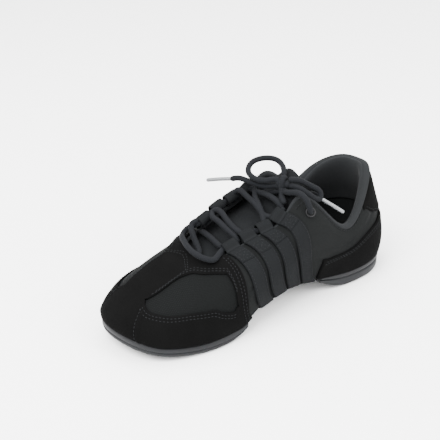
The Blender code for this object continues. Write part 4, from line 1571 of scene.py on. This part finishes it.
@dataclass
class Sole:
    """One half of the split sole, with its tread."""

    last: Last
    cut: SoleCut
    stations: int = 150
    across: int = 34
    groove_width: float = 0.0030
    groove_depth: float = 0.0014
    groove_wall: float = 0.0006
    tread_pitch: float = 0.0042
    tread_depth: float = 0.0006
    tread_swing: float = 0.0016
    swing_pitch: float = 0.016
    turning_spot: float = 0.016
    spot_edge: float = 0.0012
    thinned: float = 0.018
    thinned_rise: float = 0.0050
    tread_margin: float = 1 / 12
    tail_rise: float = 0.45 * FORE_SOLE
    wedge_rise: float = 0.78 * HEEL_SOLE
    bevel_rise: float = 0.12 * HEEL_SOLE
    girth: float = 0.2

    def bottom(self, y: Array) -> Array:
        """Reads the tread's height, which is flat where the shoe stands.

        Args:
            y: Places along the shoe, before centring.

        Returns:
            The height at each place.
        """
        along = y / HALF_LENGTH
        if self.cut.tip_is_toe:
            spring = np.clip((SPRING_START - along) / SPRING_RUN, 0, 1)
            tail = np.clip((along - TAIL_START) / TAIL_RUN, 0, 1)
            end = self.last.toe_y + self.cut.length
            thin = np.clip((y - end + self.thinned) / self.thinned, 0, 1)
            raised = TOE_SPRING * spring**1.7 + self.tail_rise * tail**1.6
            return raised + self.thinned_rise * thin**1.6
        start, wedge = self.last.heel_y - self.cut.length, WEDGE_RUN * HALF_LENGTH
        front = np.clip((start + wedge - y) / wedge, 0, 1)
        back = np.clip((along - BEVEL_START) / BEVEL_RUN, 0, 1)
        return self.wedge_rise * front**1.8 + self.bevel_rise * back**2

    def tread(self, x: Array, y: Array, from_tip: Array) -> Array:
        """Cuts the flex grooves and the waved ribs, and leaves a smooth turning spot.

        Args:
            x: Places across the shoe, before centring.
            y: Places along it.
            from_tip: How far each place lies from the sole's tip.

        Returns:
            How deep the tread is cut at each place.
        """
        depth = np.zeros_like(x)
        for middle in self.cut.grooves:
            inside = self.groove_width / 2 - np.abs(from_tip - middle * self.cut.length)
            groove = self.groove_depth * np.clip(inside / self.groove_wall, 0, 1)
            depth = np.maximum(depth, groove)
        swung = y + self.tread_swing * np.sin(2 * np.pi * x / self.swing_pitch)
        ribs = np.clip(1.6 * np.sin(2 * np.pi * swung / self.tread_pitch) - 0.4, 0, 1)
        centre = (BALL_SPOT if self.cut.tip_is_toe else HEEL_SPOT) * HALF_LENGTH
        spot = np.clip((np.hypot(x, y - centre) - self.turning_spot) / self.spot_edge, 0, 1)
        return np.maximum(depth, self.tread_depth * ribs * spot)

    def edge(self, y: Array, side: Side, reach: Array) -> Array:
        """Points at a distance out of the upper's lower edge, on one side at y."""
        u = self.last.side_u(y, side)
        return self.last.foot_line(u) + reach[:, None] * self.last.outward(u)

    def build(self) -> None:
        """Lofts the sole from its tip to its open end."""
        last, cut = self.last, self.cut
        corners, over = len(cut.side_steps), self.across
        ups, insets = np.array(cut.side_steps).T
        # Round the section: down the outer edge, over the tread, up the inner edge, and one
        # corner more in the middle of the top
        ring = 2 * corners + over + 1
        number, top_middle = np.arange(ring), ring - 1
        on_outer, on_inner = number < corners, number >= corners + over
        mirrored = np.clip(top_middle - 1 - number, 0, corners - 1)
        row = np.where(on_outer, number, np.where(on_inner, mirrored, corners - 1))
        share = np.clip((number - corners + 1) / (over + 1), 0, 1)
        share = np.where(on_outer, 0.0, np.where(on_inner, 1.0, share))
        up = ups[row]
        share[top_middle], up[top_middle] = 0.5, 1.0
        inside = np.clip(np.minimum(share, 1 - share) / self.tread_margin, 0, 1)
        tread_share = inside * ~(on_outer | on_inner)
        tip, toward = (last.toe_y, 1) if cut.tip_is_toe else (last.heel_y, -1)

        def place(a: Array, b: Array) -> Array:
            """Places the sole's skin.

            Args:
                a: Shares round its section.
                b: Shares from its tip to its open end.

            Returns:
                The points, in metres.
            """
            corner = (a * ring).round().astype(int) % ring
            from_tip = cut.length * (1 - np.cos(0.5 * np.pi * b)) * (0.35 + 0.65 * b**0.5)
            y = tip + toward * from_tip
            reach = SOLE_EDGE - insets[row[corner]]
            outer, inner = (self.edge(y, side, reach) for side in Side)
            spot = outer + (inner - outer) * share[corner][:, None]
            cut_in = self.tread(spot[:, 0], spot[:, 1], from_tip)
            under = self.bottom(y) + cut_in * tread_share[corner]
            top = last.foot_height(spot[:, 1]) - GAP
            spot[:, 2] = under + (top - under) * up[corner]
            return spot + last.shift

        bm = grid(ring, self.stations, place, flat_uv(self.girth, cut.length))
        weld(bm)
        close_rims(bm)
        add_piece(cut.name + "_rubber", bm, MOULDED_RUBBER, [cut.name])


# Places of the lace in millimetres, before the part was centred, read from the photo.
# The front bar, from its inner end to its outer one
BAR = [(-12, -52.5, 63), (-2, -55.5, 62.5), (9, -56.5, 61.3), (17.5, -53.5, 59.3)]
# From the bar to each side's first loop
BAR_TO_LOOP = {
    Side.OUTER: BAR[1:] + [(21.0, -47.0, 57.0), (18.5, -40.5, 57.6)],
    Side.INNER: BAR[1::-1] + [(-16.5, -49.5, 62.4), (-18.8, -43.5, 65.0)],
}
# The two rows over the tongue, by the side on which the lace starts
ROWS_FROM = {
    Side.OUTER: (
        [(3, -24, 68.5), (-5, -25.5, 71.8), (-10.4, -26.2, 73)],
        [(-16, 1.5, 85), (-8, 3.5, 82.5), (3, 5, 78), (13.5, 5.5, 73.5)],
    ),
    Side.INNER: (
        [(-12, -21, 76.3), (-6, -19.8, 75), (3, -19.8, 70.8)],
        [(2, 7, 79), (-7, 10.8, 81), (-14.8, 14.5, 83)],
    ),
}
# The webbing loops' middles and directions, from the toe to the heel
LOOPS = {
    Side.OUTER: [(15.9, -28.4, 60.2), (17.7, -14.6, 65.4), (19.4, -0.6, 68.7), (19.9, 11.8, 74.2)],
    Side.INNER: [
        (-15.8, -30.3, 70.3), (-18.4, -16.7, 75.1), (-20.3, -2.3, 78.3), (-20.7, 10.1, 80.4),
    ],
}
LOOP_AXES = {
    Side.OUTER: [(0.12, 0.95, 0.28), (0.10, 0.96, 0.26), (0.06, 0.94, 0.33), (0.0, 0.84, 0.54)],
    Side.INNER: [
        (-0.16, 0.95, 0.28), (-0.12, 0.96, 0.25), (-0.06, 0.95, 0.30), (0.0, 0.84, 0.54),
    ],
}
# The single runs: piece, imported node, places
SINGLE_RUNS = (
    (
        "lace_front_low",
        "lace_front_inner",
        [
            (-15.2, -38, 71.0), (-15, -42, 69.5), (-11, -44.5, 66), (-4, -45.5, 59.5),
            (3, -47.5, 55.4), (8, -53, 52.8), (11, -58, 50.5),
        ],
    ),
    (
        "lace_front_high",
        "lace_front_outer",
        [
            (-19, -33, 59), (-13.5, -33.5, 61), (-6, -34, 61.5), (3, -34, 60.5),
            (10.5, -33.5, 59), (14.8, -31.5, 59.2),
        ],
    ),
    (
        "lace_beneath_knot",
        "lace_under",
        [
            (-16, 14.5, 82), (-10, 14.5, 82.2), (-3, 15.5, 83), (3, 16, 83.5),
            (9, 16.5, 83), (13.5, 17, 81.5), (17.5, 17.5, 78.5),
        ],
    ),
)
KNOT = (8.0, 27.0, 91.5)
KNOT_LINE = (-0.45, 0.85, 0.05)
KNOT_CORE = [(5.6, 25.4, 91.5), (8, 27, 91.3), (10.6, 28.2, 91.8)]
EYELET_EXIT = (36, 31, 78)


class FreeCord(NamedTuple):
    """A part of the lace with a free run: its places, its far end and its aglet."""

    name: str
    far_end: str
    nodes: list[str]
    points: Sequence[Point]
    aglet: Sequence[Point] = ()
    aglet_node: str = ""


FREE_CORDS = (
    # From the top eyelet through the knot to the front aglet
    FreeCord(
        "lace_end_front",
        "fitting",
        ["lace_stay_eyelet", "lace_end_toe"],
        [
            EYELET_EXIT, (36, 30, 81.5), (32.5, 28.8, 88), (25.5, 26.6, 91), (18, 24.4, 89),
            (12.6, 24.7, 88), (8, 25.4, 88), (3.2, 24.6, 88.8), (-3, 18.3, 88.4),
            (-13, 10.4, 90.6), (-20.5, 6, 92), (-25.5, 3.2, 90.6),
        ],
        [(-25.9, 2.9, 90.4), (-34, -2.8, 88.8), (-42, -9, 86.8)],
        "aglet_toe",
    ),
    # From the top inner loop through the knot to the rear aglet
    FreeCord(
        "lace_end_back",
        "fitting",
        ["lace_stay_inner", "lace_end_heel"],
        [
            (-13.8, 20, 85.4), (-5, 20.5, 81.8), (3, 24.4, 84), (8.5, 26.5, 85.5),
            (13.8, 28, 86.4), (18.2, 34, 86.2), (19.2, 41, 83.5), (18.4, 47.2, 81.2),
            (20, 49.8, 79),
        ],
        [(20.6, 50.7, 78.2), (26, 58.5, 72), (31, 66.2, 65.5)],
        "aglet_heel",
    ),
    # From the top outer loop round the front bow loop and back to the knot
    FreeCord(
        "bow_front",
        "knot",
        ["lace_stay_outer", "lace_bow_toe"],
        [
            (17.5, 19.8, 82.6), (14.2, 21, 83.6), (11.8, 22.2, 84.6), (9.5, 24.2, 89.5),
            (2.6, 24.3, 93.8), (-1, 18.5, 93.8), (-7.5, 12, 94.6), (-15.8, 11.4, 97.2),
            (-21.2, 17.2, 100.7), (-21, 24.8, 102.7), (-16.9, 32.3, 103), (-10.9, 36.3, 101.6),
            (-3.5, 35.5, 98.4), (1.6, 31.9, 95.4),
        ],
    ),
    # From the knot round the rear bow loop and back
    FreeCord(
        "bow_back",
        "knot",
        ["lace_bow_heel"],
        [
            (12.6, 30.6, 95.9), (16.5, 37.1, 94.2), (20.5, 44.6, 89), (23.5, 49.5, 84.5),
            (25.5, 48, 80), (26, 42, 82.5), (24, 36.5, 87.5), (18, 32, 91), (13, 29.4, 91),
        ],
    ),
)


@dataclass
class Lacing:
    """The lace: its two halves through the loops, the knot, the bow and its ends."""

    last: Last
    pitch: float = 0.0009
    loop_half: float = 6.2
    wrap_across: float = 0.0030
    wrap_up: float = 0.0052
    core: float = 0.0066
    aglet_sides: int = 20

    def route(self, points: Sequence[Point]) -> Array:
        """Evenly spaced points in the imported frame, in metres."""
        return spread_points(MM * np.array(points), self.pitch) + self.last.shift

    def through(self, side: Side, number: int) -> list[Point]:
        """Runs the lace through a webbing loop.

        Args:
            side: The loop's side of the foot.
            number: Which loop it is, from the toe.

        Returns:
            Three places from the toe towards the heel, in millimetres.
        """
        centre = np.array(LOOPS[side][number - 1])
        axis = unit(np.array(LOOP_AXES[side][number - 1])) * self.loop_half
        return [tuple(centre + share * axis) for share in (-1, 0, 1)]

    def build(self) -> None:
        """Makes the crossings, the knot, the ends and the bow."""
        self.crossings()
        self.knot()
        for cord in FREE_CORDS:
            self.free(cord)

    def crossings(self) -> None:
        """The lace from its front bar up both sides to the top loops."""
        nodes = ["lace_bar", "lace_row_front", "lace_row_back"]
        for side in Side:
            other, (front, back) = Side(-side.value), ROWS_FROM[side]
            points = BAR_TO_LOOP[side] + self.through(side, 1) + front
            points += self.through(other, 2)[1:] + self.through(other, 3)[:2]
            points += back + self.through(side, 4)[1:]
            name = "lace_crossing_" + side.name.lower()
            add_tube(name, BRAIDED_LACE, self.route(points), LACE, nodes)
        for name, node, points in SINGLE_RUNS:
            add_tube(name, BRAIDED_LACE, self.route(points), LACE, [node])

    def knot(self) -> None:
        """The lace wrapped round the knot, and the strands inside it as one core."""
        turn = np.linspace(0, 2 * np.pi, 25)[:, None]
        across = unit(np.array(KNOT_LINE))
        middle = MM * np.array(KNOT) + self.last.shift
        wrap = middle + self.wrap_across * np.cos(turn) * across
        wrap = wrap + self.wrap_up * np.sin(turn) * np.array((0.0, 0.0, 1.0))
        wrap, nodes = spread_points(wrap, self.pitch), ["lace_knot"]
        made = add_tube("knot_wrap", BRAIDED_LACE, wrap, LACE, nodes)
        core = add_tube("knot_core", BRAIDED_LACE, self.route(KNOT_CORE), self.core, nodes)
        core.parent = made

    def free(self, cord: FreeCord) -> None:
        """Makes a free part of the lace, with its aglet if it has one, and logs its length.

        Args:
            cord: The part.
        """
        pieces = []
        if cord.aglet:
            name, tip, nodes = cord.name + "_aglet", self.route(cord.aglet), [cord.aglet_node]
            pieces = [add_tube(name, AGLET_PLASTIC, tip, AGLET, nodes, self.aglet_sides)]
        route = self.route(cord.points)
        made = add_tube(cord.name, BRAIDED_LACE, route, LACE, cord.nodes)
        length = float(run_along(route)[-1])
        LOG.info("%s is %.0f mm long", made.name, length / MM)
        tuple(route[0])


# The throat's facing at the vamp, as places (u, v), and how far below it a second row runs
FACING = ((10.14, 0.835), (10.35, 0.885), (10.6, 0.925), (10.85, 0.945), (11.0, 0.95))
FACING_ROW = 0.03
# Single rows below the rim: where each starts and ends round the shoe, its corners, its height
RIM_ROWS = ((2.1, 5.5, 60, 0.93), (8.55, 10.2, 20, 0.945))


@dataclass
class Stitching:
    """Rows of stitches laid on the upper, one mesh for each group.

    Real stitches are about half as long; these are drawn coarser so that they show.
    """

    last: Last
    straps: Sequence[Strap]
    pitch: float = 0.0027
    stitch: float = 0.0019
    thread: float = 0.00026
    sight: float = 0.0005
    inset_span: Pair = (7.45, 10.48)
    toe_rows: Pair = (0.030, 0.062)
    upper_share: float = 0.9
    toe_top: float = 0.985
    end_rows: Pair = (0.10, 0.20)
    end_span: Pair = (0.03, 0.96)
    seam_span: Pair = (0.03, 0.36)
    counter_end: float = 4.0
    tab_end: float = 1.8
    counter_rows: Pair = (0.030, 0.065)
    tab_row: float = 0.035
    seam_row: float = 0.06
    collar_rise: float = 0.0009

    def group(self, name: str, rows: Sequence[Array], offset: float, creased: bool = True) -> None:
        """Lays the stitches of several rows of (u, v) at an offset out of the upper.

        Args:
            name: The object's name.
            rows: The seams, each through at least two places.
            offset: Metres out of the face.
            creased: Whether the face under them has the worn-in creases.
        """
        bm = bmesh.new()
        for row in rows:
            share = np.linspace(0, len(row) - 1, 40 * len(row))
            u, v = (np.interp(share, np.arange(len(row)), column) for column in row.T)
            line = self.last.face(u, v, offset, creased)
            run = run_along(line)
            at = np.arange(0.5 * self.pitch, run[-1], self.pitch)
            middle = read_along(line, run, at)
            ahead = read_along(line, run, at + self.sight)
            ways = unit(ahead - read_along(line, run, at - self.sight))
            normals = self.last.normal(np.interp(at, run, u), np.interp(at, run, v))
            for spot, way, normal in zip(middle, ways, normals):
                self.one(bm, spot, way, normal)
        add_piece(name, bm, BONDED_THREAD)

    def one(self, bm: bmesh.types.BMesh, spot: Array, way: Array, normal: Array) -> None:
        """Adds one stitch, a small grain pulled down at both ends.

        Args:
            bm: The mesh that gets it.
            spot: Its middle.
            way: The direction of the seam.
            normal: The direction out of the upper.
        """
        beside = unit(np.cross(normal, way))
        turn = np.stack([way, beside, np.cross(way, beside)], axis=1)
        sized = turn * (self.stitch / 2, self.thread, self.thread)
        matrix = Matrix.Translation(Vector(spot)) @ Matrix(sized.tolist()).to_4x4()
        bmesh.ops.create_uvsphere(bm, u_segments=6, v_segments=5, radius=1.0, matrix=matrix)

    @staticmethod
    def both_sides(rows: Sequence[Array]) -> list[Array]:
        """The rows of the outer half of the shoe and the same rows on its inner half."""
        return [*rows, *(row * (-1, 1) + (TURN, 0) for row in rows)]

    def build(self) -> None:
        """Lays every seam that the picture shows, and the same ones on the hidden side."""
        self.toe()
        self.webbing()
        self.heel()
        self.collar()

    def webbing(self) -> None:
        """Rows along the straps' edges, and the crossed boxes on their folds."""
        edges = [row for strap in self.straps for row in strap.edge_seams()]
        boxes = [row for strap in self.straps for row in strap.seams()]
        proud = OVERLAY_GAP + WEBBING + THREAD_RISE
        self.group("stitches_strap_edges", edges, proud, creased=False)
        proud += self.straps[0].fold_rise
        self.group("stitches_strap_folds", boxes, proud, creased=False)

    def toe(self) -> None:
        """Double rows round the inset, beside the toe's seam and along the suede's ends."""
        side = np.linspace(*self.inset_span, 60)
        low, high = (smooth_through(INSET, side, column) for column in (1, 2))
        rows = []
        for off in self.toe_rows:
            above = high + off * self.upper_share
            rows += [np.stack([side, low - off], 1), np.stack([side, above], 1)]
        v = np.linspace(*self.seam_span, 12)
        rows.append(np.stack([SEAM_FOOT + self.seam_row + SEAM_SLANT * v, v], 1))
        rows += [np.array(FACING), np.array(FACING) - (0.0, FACING_ROW)]
        kept = [row[row[:, 1] < self.toe_top].T for row in rows]
        rows = [np.stack([side + suede_lean(side, v), v], 1) for side, v in kept]
        v = np.linspace(*self.end_span, 30)
        rows += [np.stack([SUEDE_END + off + SUEDE_LEAN * v, v], 1) for off in self.end_rows]
        self.group("stitches_toe", self.both_sides(rows), OVERLAY_GAP + SUEDE + THREAD_RISE)

    def heel(self) -> None:
        """Rows below the counter's top edge and above the heel tab's lower one."""
        u = np.linspace(-self.counter_end, self.counter_end, 80)
        top = smooth_through(COUNTER_TOP, np.abs(u))
        rows = [np.stack([u, top - off], axis=1) for off in self.counter_rows]
        u = np.linspace(-self.tab_end, self.tab_end, 40)
        foot = smooth_through(TAB_FOOT, np.abs(u))
        rows.append(np.stack([u, foot + self.tab_row], axis=1))
        self.group("stitches_heel", rows, OVERLAY_GAP + SUEDE + THREAD_RISE)

    def collar(self) -> None:
        """Rows below the rim, along the padded collar and the throat."""
        lines = [(np.linspace(start, end, count), v) for start, end, count, v in RIM_ROWS]
        rows = [np.stack([u, np.full(u.shape, v)], axis=1) for u, v in lines]
        self.group("stitches_collar", self.both_sides(rows), self.collar_rise)


@dataclass
class Eyelet:
    """The ring of the top eyelet on the outer side, round the lace."""

    last: Last
    place: Pair = (5.32, 0.83)
    radius: float = 0.0031
    wire: float = 0.0007
    lift: float = 0.0004
    wire_sides: int = 10
    steps: int = 36

    def build(self) -> None:
        """Spins the ring and sets it on the upper where the lace comes out."""
        normal = self.last.normal(*self.place)
        middle = MM * np.array(EYELET_EXIT) + self.last.shift
        middle = middle + (self.last.face(*self.place) - middle) @ normal * normal
        tilt = Vector(normal).to_track_quat("Z", "Y").to_matrix().to_4x4()
        bm = bmesh.new()
        aside = Matrix.Translation((self.radius, 0, 0)) @ Matrix.Rotation(np.pi / 2, 4, "X")
        bmesh.ops.create_circle(bm, segments=self.wire_sides, radius=self.wire, matrix=aside)
        ring = bm.edges[:] + bm.verts[:]
        turn = {"cent": (0, 0, 0), "axis": (0, 0, 1), "angle": 2 * np.pi}
        bmesh.ops.spin(bm, geom=ring, steps=self.steps, use_merge=True, **turn)
        seat = Matrix.Translation(Vector(middle + self.lift * normal)) @ tilt
        bmesh.ops.transform(bm, matrix=seat, verts=bm.verts)
        weld(bm)
        add_piece("top_eyelet", bm, EYELET_METAL)


class SoftBox(NamedTuple):
    """A square light: its name, place, power in watts and size."""

    name: str
    spot: Point
    watts: float
    size: float


SOFT_BOXES = (
    SoftBox("key", (0.2, -0.7, 1.1), 50.0, 0.8),
    SoftBox("fill", (0.9, 0.6, 0.8), 20.0, 0.7),
    SoftBox("top", (-0.4, 0.2, 1.3), 22.0, 0.9),
)


@dataclass
class Studio:
    """The camera, the pale floor and the soft lights."""

    last: Last
    azimuth: float = 57.41
    elevation: float = 27.29
    roll: float = -2.17
    distance: float = 0.70031
    focal: float = 75.22
    target: Point = (-12.75, -18.04, 66.53)
    lit: Point = (0.0, 0.0, 0.04)
    sensor: float = 36.0
    surround: float = 3.5
    floor_size: float = 6.0

    def build(self) -> None:
        """Places the camera, floor and lights."""
        self.camera()
        self.floor()
        self.lights()

    def camera(self) -> None:
        """The camera at the photo's angle to the shoe."""
        a, e, r = np.radians((self.azimuth, self.elevation, self.roll))
        back = np.array((np.sin(a) * np.cos(e), -np.cos(a) * np.cos(e), np.sin(e)))
        right = np.array((np.cos(a), np.sin(a), 0.0))
        up = np.cross(back, right)
        turned = np.cos(r) * right + np.sin(r) * up
        raised = -np.sin(r) * right + np.cos(r) * up
        spot = MM * np.array(self.target) + self.last.shift + self.distance * back
        data = bpy.data.cameras.new("camera")
        data.lens = self.focal
        data.sensor_width = self.sensor
        made = bpy.data.objects.new("camera", data)
        rows = np.stack([turned, raised, back], axis=1)
        made.matrix_world = Matrix.Translation(Vector(spot)) @ Matrix(rows.tolist()).to_4x4()
        bpy.context.scene.collection.objects.link(made)
        bpy.context.scene.camera = made

    def floor(self) -> None:
        """A plain pale floor, level with the lowest point of the soles."""
        bm = bmesh.new()
        bmesh.ops.create_grid(bm, x_segments=1, y_segments=1, size=self.floor_size)
        add_mesh("floor", bm, WHITE_PAPER)

    def lights(self) -> None:
        """Soft boxes over and beside the shoe, and an even white surround."""
        world = bpy.data.worlds.new("surround")
        world.use_nodes = True
        shade = world.node_tree.nodes["Background"]
        shade.inputs["Color"].default_value = linear("#FFFFFF")
        shade.inputs["Strength"].default_value = self.surround
        bpy.context.scene.world = world
        for box in SOFT_BOXES:
            data = bpy.data.lights.new(box.name, "AREA")
            data.energy, data.size = box.watts, box.size
            made = bpy.data.objects.new(box.name, data)
            aim = (Vector(self.lit) - Vector(box.spot)).to_track_quat("-Z", "Y")
            made.matrix_world = Matrix.Translation(box.spot) @ aim.to_matrix().to_4x4()
            bpy.context.scene.collection.objects.link(made)


def finish_base(base: bpy.types.Object) -> None:
    """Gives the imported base, which stays as it is, its finish.

    Args:
        base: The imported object.
    """
    base.data.materials.clear()
    base.data.materials.append(WOVEN_BOARD.build())


def main() -> None:
    """Builds the dressed shoe, its floor, lights and camera."""
    logging.basicConfig(level=logging.INFO, format="%(name)s: %(message)s")
    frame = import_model()
    last = Last()
    straps = [Strap(last, number, side) for side in Side for number in range(1, STRAP_COUNT + 1)]
    heel_length = last.heel_y - (last.toe_y + FORE_SOLE_LENGTH + ARCH_LENGTH)
    fore = SoleCut("forefoot_sole", FORE_STEPS, True, FORE_SOLE_LENGTH, (0.26, 0.44, 0.80))
    heel = SoleCut("heel_sole", HEEL_STEPS, False, heel_length, (0.22, 0.50))
    for assembly in (
        Studio(last),
        Lacing(last),
        Shell(last),
        Overlays(last),
        Tongue(last),
        Footbed(last),
        *straps,
        Sole(last, fore),
        Sole(last, heel),
        Stitching(last, straps),
        Eyelet(last),
    ):
        LOG.info("building: %s", type(assembly).__name__.lower())
        assembly.build()
    finish_base(frame["nodes"]["base"])


if __name__ == "__main__":
    main()
